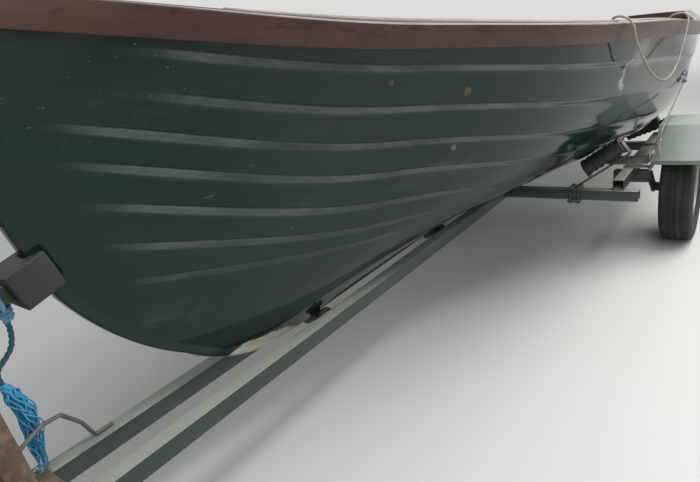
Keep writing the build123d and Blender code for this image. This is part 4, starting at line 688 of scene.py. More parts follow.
def cast_steel(name):
    """Grey casting with rust in its pores."""
    f = Finish(name, roughness=0.6, metallic=0.5)
    base = f.mix(f.noise(16.0, 6), (0.10, 0.10, 0.10), (0.20, 0.19, 0.18))
    base = f.mix(f.window(f.noise(9.0, 6, 0.7), 0.52, 0.72, 0.0, 0.7), base, (0.14, 0.07, 0.04))
    return f.done(base, None, f.bump(f.noise(120.0, 5, 0.7), 0.001))


def wheel_paint(name):
    """Silver rim enamel with brake dust and rust in patches."""
    f = Finish(name, roughness=0.4, metallic=0.25)
    base = f.mix(f.noise(12.0, 5), (0.36, 0.37, 0.37), (0.28, 0.28, 0.27))
    base = f.mix(f.window(f.noise(25.0, 7, 0.7), 0.54, 0.70, 0.0, 0.8), base, (0.15, 0.08, 0.05))
    return f.done(base, None, f.bump(f.noise(90.0, 3), 0.0003))


def tyre_rubber(name):
    """Weathered tyre rubber, dusty in patches."""
    f = Finish(name, roughness=0.85)
    base = f.mix(f.noise(20.0, 6, 0.6), (0.008, 0.009, 0.010), (0.022, 0.022, 0.022))
    base = f.mix(f.window(f.noise(4.5, 6, 0.7), 0.45, 0.72, 0.0, 0.28), base, (0.10, 0.092, 0.080))
    return f.done(base, None, f.bump(f.noise(160.0, 4, 0.6), 0.0005))


def black_rubber(name):
    """Roller rubber, dusty on top."""
    f = Finish(name, roughness=0.62)
    base = f.mix(f.noise(14.0, 6, 0.6), (0.010, 0.011, 0.011), (0.028, 0.028, 0.027))
    dusty = f.math("MULTIPLY", f.window(f.facing_up(), 0.2, 0.9), f.noise(12.0, 5))
    base = f.mix(f.math("MULTIPLY", dusty, 0.35), base, (0.13, 0.12, 0.105))
    return f.done(base, None, f.bump(f.noise(110.0, 4), 0.0005))


def rope_fibre(name, color, other, dirt):
    """Twisted fibre with fuzz and grime."""
    f = Finish(name, roughness=0.8)
    base = f.mix(f.noise(60.0, 5, 0.7), color, other)
    base = f.mix(f.window(f.noise(9.0, 4), 0.5, 0.75, 0.0, dirt), base, (0.25, 0.22, 0.17))
    return f.done(base, None, f.bump(f.noise(420.0, 4, 0.7), 0.0006))


def floor_timber(name):
    """Unvarnished slats, stained by wear."""
    f = Finish(name, roughness=0.75)
    rings = f.noise(1.0, 5, 0.6, (1.2, 36, 36), 0.5)
    base = f.mix(f.window(rings, 0.35, 0.68), (0.34, 0.25, 0.16), (0.20, 0.135, 0.085))
    base = f.mix(f.window(f.noise(6.0, 7, 0.7), 0.48, 0.72, 0.0, 0.6), base, (0.12, 0.10, 0.075))
    return f.done(base, None, f.bump(rings, 0.0009))


def built(name, maker, *arguments):
    """The material of that name, made on first use."""
    return bpy.data.materials.get(name) or maker(name, *arguments)


def finish_for(slot, node=""):
    """Material for one of the record's slots, on a node that may have its own."""
    tints = bpy.context.scene.boat_trailer
    paint, guard, scuffed = tuple(tints.paint), tuple(tints.mudguard), tuple(tints.scuffed)
    cream, blue = tuple(tints.rope), tuple(tints.blue_rope)
    timber = tuple(bpy.context.scene.boat_hull.mahogany)
    # the last number sets how much paler the upper faces are, partly bleaching and partly painted
    # sheen
    wood = ("Gunwale mahogany", varnished_wood, timber, "x", 1.0)
    if node.startswith(("thwart", "stern_seat")):
        wood = ("Thwart mahogany", varnished_wood, timber, "y", 0.25)
    elif node.startswith(("transom", "outboard")):
        wood = ("Transom mahogany", varnished_wood, timber, "y", 0.1)
    makers = {
        "mahogany": wood,
        "gelcoat": ("Green gelcoat", green_gelcoat),
        "floor_timber": ("Bare slats", floor_timber),
        "tyre": ("Tyre rubber", tyre_rubber),
        "wheel_paint": ("Rim enamel", wheel_paint),
        "mudguard_paint": ("Mudguard paint", trailer_paint, guard, GUARD_TOP, 0.15),
        "black_rubber": ("Roller rubber", black_rubber),
        "rusty_steel": ("Rusty steel", rusty_steel),
        "zinc_steel": ("Zinc plate", zinc_steel),
        "cast_steel": ("Cast steel", cast_steel),
        "green_steel": ("Trailer paint", trailer_paint, paint, scuffed, 0.3),
        "rope": ("Cream rope", rope_fibre, cream, blended(cream, BLACK, 0.4), 0.4),
        "blue_rope": ("Blue rope", rope_fibre, blue, blended(blue, WHITE, 0.25), 0.15),
    }
    return built(*makers["cast_steel" if node == "bent_rod" else slot])


def hull_finishes():
    """Gelcoat outside and flow coat inside."""
    return [finish_for("gelcoat"), built("Inner flow coat", inner_laminate)]


SLOT_OF = {entry["node"]: entry["material_slot"] for entry in frame["record"]["subparts"]}


# Hull and timber


def hull_rows(props):
    """Places of the skin's sections, from the transom to the stem."""
    aft = [along(TRANSOM_X, LAST_X, i / props.rows_aft) for i in range(props.rows_aft)]
    return aft + [LAST_X + i / props.rows_bow for i in range(props.rows_bow + 1)]


def lap_fade(s, row):
    """What is left of the clinker step at s: the upper laps die out first at the bow."""
    end = FADE_ENDS[0] if row > FADE_ROW else FADE_ENDS[1]
    return 1 - smooth_step((s - LAST_X - end + LAP_RUN_OUT) / LAP_RUN_OUT)


def lap_mark(s, row, ramp, beyond):
    """1 on a lap's ramp, where pale is painted, -1 in the painted shade line above it and 0 on the
    planks.
    """
    if row < FIRST_LAP:
        return 0.0
    if beyond:
        return -lap_fade(s, row) if beyond < SHADE_LINE_SHARE else 0.0
    return lap_fade(s, row) * (1.0 if 0 < ramp < 1 else 0.4)


def outer_columns(props):
    """Places up the girth: row of LAPS, and distance in or share beyond the lap's ramp."""
    columns = []
    for row in range(LAST_ROW + 1):
        if row >= FIRST_LAP:
            columns += [(row, m / props.lap_points, 0.0) for m in range(props.lap_points)]
        columns += [(row, 1.0, share) for share in PLANK_SHARES]
    return columns + [(LAST_ROW, 1.0, 1.0)]


def plank_point(props, s, row, ramp, beyond):
    """Point of the outer face: up the lap's ramp and then up the plank."""
    low, high = skin_point(s, float(row)), skin_point(s, row + 1.0)
    width = max((high - low).length, 0.001)
    start = min(props.lap_width / width, 0.4) if row >= FIRST_LAP else 0.0
    share = along(start * ramp, 1.0, beyond) if beyond else start * ramp
    here, _, _, out = skin_frame(s, min(row + share, SHEER_Q))
    if row < FIRST_LAP:
        return here
    return here + out * LAND_STEP * lap_fade(s, row) * (1 - share) * smooth_step(ramp)


def build_hull(props):
    """Moulded skin of both sides with its laps, and the keel and stem between them."""
    mesh = bmesh.new()
    lap = mesh.verts.layers.float.new("lap")
    rows = hull_rows(props)
    outer = outer_columns(props)
    columns = len(outer) + INNER_POINTS + 1

    def place(i, j):
        s = rows[i]
        if j < len(outer):
            return plank_point(props, s, *outer[j])
        if j < len(outer) + INNER_POINTS:
            q = along(SHEER_Q, 0.0, (j - len(outer)) / (INNER_POINTS - 1))
            return skin_point(s, q, WALL)
        return plank_point(props, s, *outer[0])

    def side(_, j):
        return 1 if len(outer) <= j < len(outer) + INNER_POINTS - 1 else 0

    cells = grid_skin(mesh, len(rows), columns, place, side)
    for v, (i, j) in cells.items():
        v[lap] = lap_mark(rows[i], *outer[j]) if j < len(outer) else 0.0
    close_ends(mesh)
    mirror_sides(mesh)
    skin = finished("hull_skin", mesh, "gelcoat", materials=hull_finishes())
    build_backbone()
    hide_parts("hull")


ARC_STEPS = 24
BACKBONE_EASE = 0.007
INSIDE_BAND = 0.004


def backbone_outline():
    """Side view of keel and stem as points of x and z, the outer line and then the inner."""
    outer = [(TRANSOM_X, KEEL_BOTTOM)]
    outer += [stem_point(i / ARC_STEPS) for i in range(2 * ARC_STEPS)]
    head = (STEM_CHIN, STEM_THROAT, STEM_HEAD)
    outer += [arc_point(*head, i / ARC_STEPS) for i in range(ARC_STEPS + 1)]
    inner = [
        (STEM_HEAD[0] - KEEL_DEEP, STEM_HEAD[1]),
        (STEM_CHIN[0] - KEEL_DEEP, STEM_CHIN[1]),
        (STEM_FOREFOOT[0] - KEEL_DEEP, STEM_FOREFOOT[1] + KEEL_DEEP),
        (STEM_KEEL_END[0], KEEL_BOTTOM + KEEL_DEEP),
        (LAST_X, KEEL_BOTTOM + KEELSON_TOP),
        (TRANSOM_X, KEEL_BOTTOM + KEELSON_TOP),
    ]
    return outer, inner


def reach_to(spot, a, b):
    """Distance of a point from the stretch between two others."""
    along_it = (spot - a).dot(b - a) / (b - a).length_squared
    return (a + (b - a) * min(max(along_it, 0.0), 1.0) - spot).length


def build_backbone():
    """Keel and stem as one bar with eased corners, pale where it shows inside the boat."""
    outer, inner = backbone_outline()
    mesh = bmesh.new()
    face = mesh.faces.new([mesh.verts.new((x, -KEEL_HALF, z)) for x, z in outer + inner])
    moved = bmesh.ops.extrude_face_region(mesh, geom=[face])["geom"]
    bmesh.ops.translate(mesh, vec=(0, 2 * KEEL_HALF, 0), verts=only_verts(moved))
    rims = [e for e in mesh.edges if abs(e.verts[0].co.y - e.verts[1].co.y) < MERGE]
    bmesh.ops.bevel(
        mesh,
        geom=rims,
        offset=BACKBONE_EASE,
        segments=3,
        profile=0.5,
        affect="EDGES",
        material=-1,
    )
    corners = [Vector(corner) for corner in inner]
    for face in mesh.faces:
        spot = face.calc_center_median().xz
        near = (reach_to(spot, a, b) < INSIDE_BAND for a, b in zip(corners, corners[1:]))
        face.material_index = 1 if any(near) else 0
    finished("keel_and_stem", mesh, "gelcoat", materials=hull_finishes())


# depth, thickness and eased corner of each strip
STRAKE = (0.065, 0.022, 0.005)
INWALE = (0.042, 0.020, 0.004)
RISER = (0.045, 0.018, 0.003)
STRAKE_END = LAST_X + 0.975
INWALE_END = LAST_X + 0.5
RISER_TOP_Q = 7.5
SEAT = 0.0003


def strip_outline(depth, thick, radius):
    """Cross-section of a strip: first axis down the skin, second away from it."""
    return rounded([(0, SEAT), (depth, SEAT), (depth, SEAT + thick), (0, SEAT + thick)], radius)


def spaced(start, end, count):
    """Even steps from start to end, both of them among the places."""
    return [along(start, end, i / count) for i in range(count + 1)]


def outside_edge(s):
    """Place of the sheer on the outer face, with the directions down it and out."""
    here, fore, _, out = skin_frame(s, SHEER_Q)
    low, _, _, low_out = skin_frame(s, SHEER_Q - 1)
    down = (low + low_out * LAND_STEP * lap_fade(s, LAST_ROW) - here).normalized()
    normal = down.cross(fore).normalized()
    return here, down, normal if normal.dot(out) > 0 else -normal


def inside_edge(q_top):
    """The same for a line at q_top on the inner face, with the directions down it and in."""

    def at(s):
        here, low = skin_point(s, q_top, WALL), skin_point(s, q_top - 0.5, WALL)
        _, _, _, out = skin_frame(s, q_top)
        down = (low - here).normalized()
        return here, down, -(out - down * out.dot(down)).normalized()

    return at


def build_gunwales():
    """Rubbing strakes, inwales and the risers that carry the thwarts."""
    rows = spaced(TRANSOM_X - TRANSOM_THICK, STRAKE_END, 110)
    strake = swept_strip("rubbing_strakes", rows, outside_edge, strip_outline(*STRAKE))
    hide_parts("rubbing_strake_port", "rubbing_strake_starboard")
    rows = spaced(TRANSOM_X, INWALE_END, 90)
    inwale = swept_strip("inwales", rows, inside_edge(SHEER_Q), strip_outline(*INWALE))
    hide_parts("inwale_port", "inwale_starboard")
    rows = spaced(TRANSOM_X, LAST_X, 70)
    risers = swept_strip("riser_strips", rows, inside_edge(RISER_TOP_Q), strip_outline(*RISER))
    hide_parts("risers")


def ease_node(node, width):
    """Copy of a CAD node with its sharp edges eased by a bevel, which then stands for it."""
    mesh = bmesh.new()
    mesh.from_mesh(NODES[node].data)
    bmesh.ops.remove_doubles(mesh, verts=mesh.verts, dist=MERGE)
    flat = math.radians(1)
    bmesh.ops.dissolve_limit(mesh, angle_limit=flat, verts=mesh.verts, edges=mesh.edges)
    for face in mesh.faces:
        face.smooth = True
        face.material_index = 0
    data = bpy.data.meshes.new(f"{node}_eased")
    mesh.to_mesh(data)
    mesh.free()
    slot = SLOT_OF[node]
    piece = placed(data.name, data, slot, NODES[node]["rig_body"], [finish_for(slot, node)])
    bevel = piece.modifiers.new("Eased edges", "BEVEL")
    bevel.width = width
    bevel.segments = 2
    bevel.limit_method = "ANGLE"
    bevel.angle_limit = math.radians(40)
    bevel.harden_normals = True
    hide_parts(node)


# width of the eased edge, and the nodes that have it
EASED_TIMBER = {
    0.002: ("floorboards",),
    0.003: ("transom_board",),
    0.004: (
        "breasthook",
        "outboard_pads",
        "stern_seat",
        "thwart_aft",
        "thwart_middle",
        "thwart_bow",
    ),
}
EASED_STEEL = {
    0.0012: (
        "mudguard_stays",
        "side_roller_arms_front",
        "side_roller_arms_rear",
        "winch_frame",
    ),
    0.0014: ("mudguard_port", "mudguard_starboard"),
    0.0015: (
        "suspension_port",
        "suspension_starboard",
        "suspension_plates",
        "coupling_plate",
        "jockey_clamp",
    ),
    0.0019: (
        "spine_beam_port",
        "spine_beam_starboard",
        "cross_arms_front",
        "cross_arms_rear",
        "side_rail_port",
        "side_rail_starboard",
    ),
    0.0020: ("winch_post", "snubber_arm", "coupling_lever"),
    0.0030: ("coupling_head",),
    0.0050: ("snubber",),
}


def ease_all(table):
    """Eased copies of every node in a table of widths."""
    for width, nodes in table.items():
        for node in nodes:
            ease_node(node, width)


# Wheels and rollers


def turned(mesh, profile, centre, axis, steps):
    """Turn a closed profile of (along the axis, radius) points into a ring or disc."""
    axis = axis.normalized()
    out = axis.orthogonal().normalized()
    verts = [mesh.verts.new(centre + axis * a + out * r) for a, r in profile]
    edges = [mesh.edges.new((verts[k - 1], verts[k])) for k in range(len(verts))]
    bmesh.ops.spin(
        mesh,
        geom=verts + edges,
        cent=centre,
        axis=axis,
        dvec=(0, 0, 0),
        angle=2 * math.pi,
        steps=steps,
        use_merge=True,
        use_duplicate=False,
    )


def joint_of(name):
    """Centre and axis of a joint at rest."""
    joint = next(j for j in frame["joints"] if j["name"] == name)
    return Vector(joint["pos_m"]), Vector(joint["axis"]).normalized()


def turned_piece(name, profile, joint, steps, slot, body, sharp=None):
    """Piece with one profile, turned about a joint's axis."""
    mesh = bmesh.new()
    turned(mesh, profile, *joint_of(joint), steps)
    return finished(name, mesh, slot, body, sharp=sharp)


def mirror_of(profile):
    """The same profile on the other side of the middle, in the order that goes on from it."""
    return [(-a, r) for a, r in reversed(profile)]


SIDES = (("port", 1), ("starboard", -1))
TYRE_RADIUS = 0.285
TYRE_HALF = 0.0775
TREAD_HALF = TYRE_HALF - 0.015
GROOVES = (-0.030, 0.0, 0.030)
GROOVE_LIP, GROOVE_FOOT = 0.0050, 0.0035
# sipes start at this radius and this far from the middle, and are deeper past the shoulder
SIPED_FROM = 0.279
SIPE_INNER = 0.006
SHOULDER = 0.034
# half profiles from the bead to the tread, outside and inside: distance from the middle, radius
TYRE_WALL = (
    (-0.0500, 0.1655), (-0.0535, 0.1680), (-0.0535, 0.1800), (-0.0620, 0.1920), (-0.0735, 0.2130),
    (-TYRE_HALF, 0.2320), (-0.0755, 0.2520), (-0.0715, 0.2660), (-0.0660, 0.2755),
    (-TREAD_HALF, 0.2805),
)
TYRE_INSIDE = ((0.038, 0.1655), (0.040, 0.185), (0.062, 0.232), (0.050, 0.270))


def tyre_profile(groove):
    """Whole section of a tyre with grooves of one depth round its crown."""
    crown = []
    for middle in GROOVES:
        top = TYRE_RADIUS - 0.0008 - 3 * middle**2
        for step, deep in (
            (-GROOVE_LIP, 0),
            (-GROOVE_FOOT, groove),
            (GROOVE_FOOT, groove),
            (GROOVE_LIP, 0),
        ):
            crown.append((middle + step, top - deep))
    edge = [(-TREAD_HALF * 0.86, 0.2832)]
    wall, inside = list(TYRE_WALL), list(TYRE_INSIDE)
    return wall + edge + crown + mirror_of(wall + edge) + inside + mirror_of(inside)


def build_tyre(props, side, outboard):
    """Road tyre: rounded shoulders, three grooves round the tread and sipes across it."""
    centre, _ = joint_of(f"wheel_{side}_spin")
    axis = Vector((0, outboard, 0))
    mesh = bmesh.new()
    turned(mesh, tyre_profile(props.tread_depth), centre, axis, props.tyre_steps)
    bmesh.ops.remove_doubles(mesh, verts=mesh.verts, dist=MERGE)
    # sipes: every fourth step round the tread is pushed in
    turn = 2 * math.pi / props.tyre_steps
    for v in mesh.verts:
        off = v.co - centre
        a = off.dot(axis)
        flat = Vector((off.x, 0, off.z))
        step = round(math.atan2(flat.z, flat.x) / turn)
        if flat.length > SIPED_FROM and step % 4 == 0 and SIPE_INNER < abs(a) < TYRE_HALF:
            v.co -= flat.normalized() * props.tread_depth * (0.9 if abs(a) > SHOULDER else 0.45)
    piece = finished(f"tyre_{side}_tread", mesh, "tyre", f"wheel_{side}", sharp=38)
    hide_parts(f"tyre_{side}")


HUB_FACE = 0.0225
HUB_LIP = ((HUB_FACE, 0.0285), (0.0265, 0.0285), (0.0265, 0.0272), (HUB_FACE, 0.0272))
NUT_CIRCLE = 0.050
NUT_RADIUS = 0.0095
NUT_HEIGHT = 0.014
BOLT_HEIGHT = 0.008


def build_wheel_nuts(side, outboard):
    """Four nuts and the hub cap's lip on each rim."""
    centre, _ = joint_of(f"wheel_{side}_spin")
    axis = Vector((0, outboard, 0))
    mesh = bmesh.new()
    for k in range(4):
        angle = math.radians(45 + 90 * k)
        out = Vector((math.cos(angle), 0, math.sin(angle)))
        hex_nut(mesh, centre + out * NUT_CIRCLE + axis * HUB_FACE, axis, NUT_RADIUS, NUT_HEIGHT)
    turned(mesh, HUB_LIP, centre, axis, 40)
    finished(f"wheel_nuts_{side}", mesh, "zinc_steel", f"wheel_{side}", sharp=30)


def hex_nut(mesh, place, axis, across_radius, height):
    """Hexagon head on a washer, standing on place along axis."""
    axis = axis.normalized()
    turn = Vector((0, 0, 1)).rotation_difference(axis).to_matrix().to_4x4()
    for sides, radius, low, high in (
        (20, across_radius * 1.35, 0.0, height * 0.16),
        (6, across_radius, height * 0.16, height * 0.85),
        (12, across_radius * 0.55, height * 0.85, height * 1.15),
    ):
        bmesh.ops.create_cone(
            mesh,
            cap_ends=True,
            segments=sides,
            radius1=radius,
            radius2=radius * 0.96,
            depth=high - low,
            matrix=Matrix.Translation(place + axis * (low + high) / 2) @ turn,
        )


def surface(node, start, aim):
    """First point of a node's solid that is met from start along aim."""
    mesh = bmesh.new()
    mesh.from_mesh(NODES[node].data)
    hit = BVHTree.FromBMesh(mesh).ray_cast(Vector(start), Vector(aim))[0]
    mesh.free()
    if hit is None:
        raise ValueError(f"{node} has no face there")
    return hit


# node and the places on its top where a bolt head stands, on each side
BOLTS = {
    "coupling_plate": ((2.520, 0.085), (2.615, 0.085), (2.750, 0.085)),
    "winch_post": ((2.030, 0.085), (2.136, 0.085)),
    "suspension_plates": ((-0.855, 0.708), (-0.725, 0.708)),
}


def build_bolts():
    """Hexagon heads on the coupling plate, the post's foot and the suspension plates."""
    mesh = bmesh.new()
    up = Vector((0, 0, 1))
    for node, places in BOLTS.items():
        for x, y in places:
            for _, side in SIDES:
                foot = surface(node, (x, y * side, 2.0), -up)
                hex_nut(mesh, foot, up, NUT_RADIUS, BOLT_HEIGHT)
    finished("bolt_heads", mesh, "zinc_steel", sharp=30)


def ribbed_profile(long, radius, bore, ribs, deep, lip):
    """Profile of a roller with soft ribs, along its axis from one end to the other."""
    profile = [(-long / 2, bore)]
    pitch = long / (2 * ribs - 1)
    for i in range(2 * ribs - 1):
        r = radius - (deep if i % 2 else 0)
        start = -long / 2 + i * pitch
        profile += [(start + lip * 0.3, r - lip), (start + lip, r)]
        profile += [(start + pitch - lip, r), (start + pitch - lip * 0.3, r - lip)]
    return profile + [(long / 2, bore)]


ROLLER_BORE = 0.00808
# half profiles of the turned rollers and of the jockey wheel: distance from the middle, radius
KEEL_ROLLER = (
    (0.0, 0.022), (0.020, 0.022), (0.024, 0.0245), (0.031, 0.0335), (0.035, 0.0358),
    (0.044, 0.0358), (0.0478, 0.033), (0.048, ROLLER_BORE),
)
JOCKEY_TYRE = (
    (0.012, 0.070), (0.022, 0.070), (0.028, 0.080), (0.030, 0.090), (0.024, 0.0975),
    (0.010, 0.0998),
)
JOCKEY_RIM = (
    (0.0295, ROLLER_BORE), (0.029, 0.022), (0.010, 0.026), (0.008, 0.050), (0.014, 0.066),
    (0.024, 0.0685), (0.024, 0.0715), (0.010, 0.0700),
)


def build_side_rollers(steps):
    """Ribbed rubber bilge rollers, each on its own spindle."""
    profile = ribbed_profile(
        long=0.200, radius=0.040, bore=ROLLER_BORE, ribs=7, deep=0.004, lip=0.0012
    )
    for row in ("front", "rear"):
        for side, _ in SIDES:
            place = f"{row}_{side}"
            name, joint = f"ribbed_roller_{place}", f"side_roller_{place}_spin"
            body = f"side_roller_body_{place}"
            piece = turned_piece(name, profile, joint, steps, "black_rubber", body, 50)
            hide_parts(f"side_roller_{row}_{side}")


def build_keel_rollers(steps):
    """Waisted rubber rollers under the keel."""
    profile = mirror_of(KEEL_ROLLER[1:]) + list(KEEL_ROLLER)
    for number in range(1, 6):
        name, joint = f"waisted_roller_{number}", f"keel_roller_{number}_spin"
        body = f"keel_roller_body_{number}"
        piece = turned_piece(name, profile, joint, steps, "black_rubber", body, 55)
        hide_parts(f"keel_roller_{number}")


def build_jockey_wheel(steps):
    """Solid rubber tyre on a pressed steel rim."""
    joint, body = "jockey_wheel_spin", "jockey_roller"
    profile = list(JOCKEY_TYRE) + mirror_of(JOCKEY_TYRE)
    tyre = turned_piece("jockey_tyre", profile, joint, 2 * steps, "black_rubber", body)
    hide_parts("jockey_wheel")
    profile = list(JOCKEY_RIM) + mirror_of(JOCKEY_RIM)
    turned_piece("jockey_rim", profile, joint, steps, "zinc_steel", body, 35)


# Ropes

# a route is the given control points of its rope, in order along it
LINE_RADIUS = 0.0045
LINE_ROUTE = (
    (-0.560, 0.600, 0.961), (-0.495, 0.655, 0.962), (-0.425, 0.695, 0.962), (-0.345, 0.716, 0.978),
    (-0.250, 0.712, 1.012), (-0.150, 0.702, 1.060), (-0.050, 0.696, 1.112), (0.042, 0.700, 1.160),
    (0.097, 0.718, 1.195), (0.128, 0.748, 1.202), (0.140, 0.783, 1.187), (0.132, 0.798, 1.158),
    (0.112, 0.799, 1.118), (0.066, 0.804, 1.078), (0.008, 0.811, 1.036), (-0.055, 0.819, 0.992),
    (-0.130, 0.829, 0.955), (-0.215, 0.839, 0.930), (-0.300, 0.849, 0.922), (-0.385, 0.859, 0.938),
    (-0.452, 0.868, 0.976), (-0.495, 0.874, 1.022), (-0.532, 0.880, 1.068), (-0.562, 0.884, 1.112),
    (-0.582, 0.886, 1.150), (-0.592, 0.870, 1.167), (-0.598, 0.838, 1.171), (-0.600, 0.808, 1.158),
    (-0.600, 0.790, 1.120), (-0.592, 0.778, 1.066), (-0.580, 0.758, 1.012), (-0.560, 0.726, 0.974),
    (-0.520, 0.700, 0.962),
)
TAIL_RADIUS = 0.006
TAIL_ROUTE = (
    (1.996, 0.000, 0.847), (1.994, -0.010, 0.812), (1.992, -0.020, 0.776), (2.000, -0.028, 0.744),
    (2.020, -0.033, 0.724), (2.040, -0.037, 0.706), (2.040, -0.037, 0.676),
)
FRAY_ROUTE = (
    (2.026, -0.039, 0.640), (2.014, -0.041, 0.570), (2.024, -0.042, 0.500), (2.023, -0.043, 0.436),
)
# the frayed end: half widths from its top down, number and radius of its strands, and the
# angle from one strand to the next
FRAY_WIDTHS = (0.005, 0.015, 0.021, 0.019, 0.011)
FRAY_STRANDS = 44
FRAY_RADIUS = 0.0027
FRAY_SPACING = 2.4
FRAY_BLUE = (0.012, 0.31, 0.55)
TAIL_BLUE = (0.022, 0.110, 0.140)
# laid rope: distance of a strand's middle and length of one turn, both in radii
STRAND_OFFSET = 0.536
LAY = 7.0
# how much thinner the tail and each loose strand are at their lower ends
TAIL_TAPER = 0.7
STRAND_TAPER = 0.6


def smooth_route(points, detail=24):
    """Points along the smooth curve that a route's given points pull."""
    data = bpy.data.curves.new("Route", "CURVE")
    data.dimensions = "3D"
    data.resolution_u = detail
    spline = data.splines.new("NURBS")
    spline.points.add(len(points) - 1)
    for control, p in zip(spline.points, points):
        control.co = (*p, 1.0)
    spline.order_u = 3
    spline.use_endpoint_u = True
    guide = bpy.data.objects.new("Route", data)
    line = bpy.data.meshes.new_from_object(guide)
    path = [v.co.copy() for v in line.vertices]
    bpy.data.objects.remove(guide)
    bpy.data.meshes.remove(line)
    return path


def travelled(path):
    """Distance run along a path at each of its points."""
    run = [0.0]
    for a, b in zip(path, path[1:]):
        run.append(run[-1] + (b - a).length)
    return run


def carried_frames(path):
    """Two directions across a path at each point, carried along it without twist."""
    last = len(path) - 1
    across = (path[1] - path[0]).orthogonal().normalized()
    frames = []
    for k in range(last + 1):
        ahead = (path[min(k + 1, last)] - path[max(k - 1, 0)]).normalized()
        across = (across - ahead * across.dot(ahead)).normalized()
        frames.append((across, ahead.cross(across)))
    return frames


def strand_reach(angle, strands, radius):
    """Distance from a laid rope's middle to its outside, which dips between the strands."""
    half = math.pi / strands
    off = angle % (2 * half) - half
    middle = STRAND_OFFSET * radius
    side = (radius - middle) ** 2 - (middle * math.sin(off)) ** 2
    return max(middle * math.cos(off) + math.sqrt(max(side, 0.0)), 0.74 * radius)


def lay_rope(mesh, path, radius, strands=3, around=18, widths=None):
    """Rope of laid strands along a path, or a plain round one with no strands."""
    run, frames = travelled(path), carried_frames(path)

    def place(i, j):
        angle = 2 * math.pi * (j % around) / around
        reach = strand_reach(angle, strands, radius) if strands else radius
        turn = angle + 2 * math.pi * run[i] / (LAY * radius)
        first, second = frames[i]
        grown = widths[i] if widths else 1.0
        return path[i] + (first * math.cos(turn) + second * math.sin(turn)) * reach * grown

    grid_skin(mesh, len(path), around + 1, place)
    close_ends(mesh)


def rope_piece(name, paths, radius, slot, body=HULL_BODY, around=18):
    """One piece of laid rope along several paths."""
    mesh = bmesh.new()
    for path in paths:
        lay_rope(mesh, path, radius, around=around)
    return finished(name, mesh, slot, body)


def build_mooring_line():
    """Cream line over the gunwale, with both ends lying on the middle thwart."""
    path = smooth_route(LINE_ROUTE)
    line = rope_piece("mooring_rope", [path], LINE_RADIUS, "rope")
    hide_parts("mooring_line")


def fray_strand(number, axis, widths):
    """Path of one loose strand in the frayed end."""
    last = len(axis) - 1
    outward = math.sqrt((number + 0.5) / FRAY_STRANDS)
    path = []
    for k in range(last - (number * 5) % 12 + 1):
        t = k / last
        angle = FRAY_SPACING * number + 1.5 * math.sin(5.0 * t + number) + 2.0 * t
        off = widths[k] * outward * (1 + 0.25 * math.sin(17.0 * t + 1.7 * number))
        path.append(axis[k] + Vector((math.cos(angle) * off, math.sin(angle) * off, 0)))
    return path


def fray_widths(count):
    """Half width of the frayed end at each of count points along it."""
    spread = len(FRAY_WIDTHS) - 1
    widths = []
    for k in range(count):
        place = k / (count - 1) * spread
        low = min(int(place), spread - 1)
        widths.append(along(FRAY_WIDTHS[low], FRAY_WIDTHS[low + 1], place - low))
    return widths


def build_winch_tail():
    """Blue tail of the winch rope, hitched round the snubber's arm and frayed at its end."""
    path = smooth_route(TAIL_ROUTE + FRAY_ROUTE)
    first = next(k for k, p in enumerate(path) if p.z < TAIL_ROUTE[-1][2])
    axis = path[first:]
    widths = fray_widths(len(axis))
    mesh = bmesh.new()
    last = len(axis) - 1
    thinning = [1.0] * first + [1 - TAIL_TAPER * k / last for k in range(last + 1)]
    lay_rope(mesh, path, TAIL_RADIUS, widths=thinning)
    # the tail is given a darker blue than the rest of the winch rope
    dull = built("Worn rope", rope_fibre, TAIL_BLUE, blended(TAIL_BLUE, BLACK, 0.4), 0.3)
    tail = finished("winch_tail", mesh, "blue_rope", materials=[dull])
    mesh = bmesh.new()
    for number in range(FRAY_STRANDS):
        strand = fray_strand(number, axis, widths)
        taper = [1 - STRAND_TAPER * k / len(strand) for k in range(len(strand))]
        lay_rope(mesh, strand, FRAY_RADIUS, strands=0, around=7, widths=taper)
    bright = built("Frayed rope", rope_fibre, FRAY_BLUE, blended(FRAY_BLUE, WHITE, 0.1), 0.08)
    fray = finished("frayed_strands", mesh, "blue_rope", materials=[bright])
    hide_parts("winch_rope_tail")
    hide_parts("winch_rope_fray")
    build_hitch(path)


# turns round the snubber's arm, their pitch in radii of the rope, and the knot below
HITCH_TURNS = 2
HITCH_PITCH = 2.1
HITCH_CORNER = 0.010
HITCH_KNOT = 0.0115
HITCH_DROP = 0.026
CLEAR = 0.0006


def build_hitch(path):
    """Turns of the tail round the snubber's arm, and the knot below them."""
    low, high = (Vector(corner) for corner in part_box("snubber_arm"))
    clear = TAIL_RADIUS + CLEAR
    left, right, bottom, top = low.y - clear, high.y + clear, low.z - clear, high.z + clear
    corners = [(left, bottom), (right, bottom), (right, top), (left, top)]
    outline = rounded(corners, HITCH_CORNER, 5)
    count = HITCH_TURNS * len(outline)
    wraps = []
    for k in range(count + 1):
        y, z = outline[k % len(outline)]
        x = TAIL_ROUTE[0][0] + 0.001 + HITCH_PITCH * TAIL_RADIUS * HITCH_TURNS * k / count
        wraps.append(Vector((x, y, z)))
    down = (path[12] - path[2]).normalized()
    knot = knot_paths(path[2], path[2] + down * HITCH_DROP, HITCH_KNOT, 2.5)
    rope_piece("winch_rope_hitch", [wraps, knot], TAIL_RADIUS, "blue_rope")


WINCH_ROPE = 0.005
DRUM_CORE = 0.020
DRUM_HALF = 0.036
RING_GRIP = Vector((2.017, 0.0, 1.001))
LOOP_RADIUS = 0.0125
# from the drum's axis to where the rope leaves it, in radii of its turns
LEAVE = Vector((-0.012, 0, 0.024)) / 0.0268
WOUND_TURNS = 5.75
WOUND_SHARE = 0.85
LASH_RADIUS = 0.0050
LASH_RING = Vector((-1.152, 0.826, 0.855))
RING_RADIUS = 0.018
STAPLE_RADIUS = 0.014
RING_WIRE = 0.003
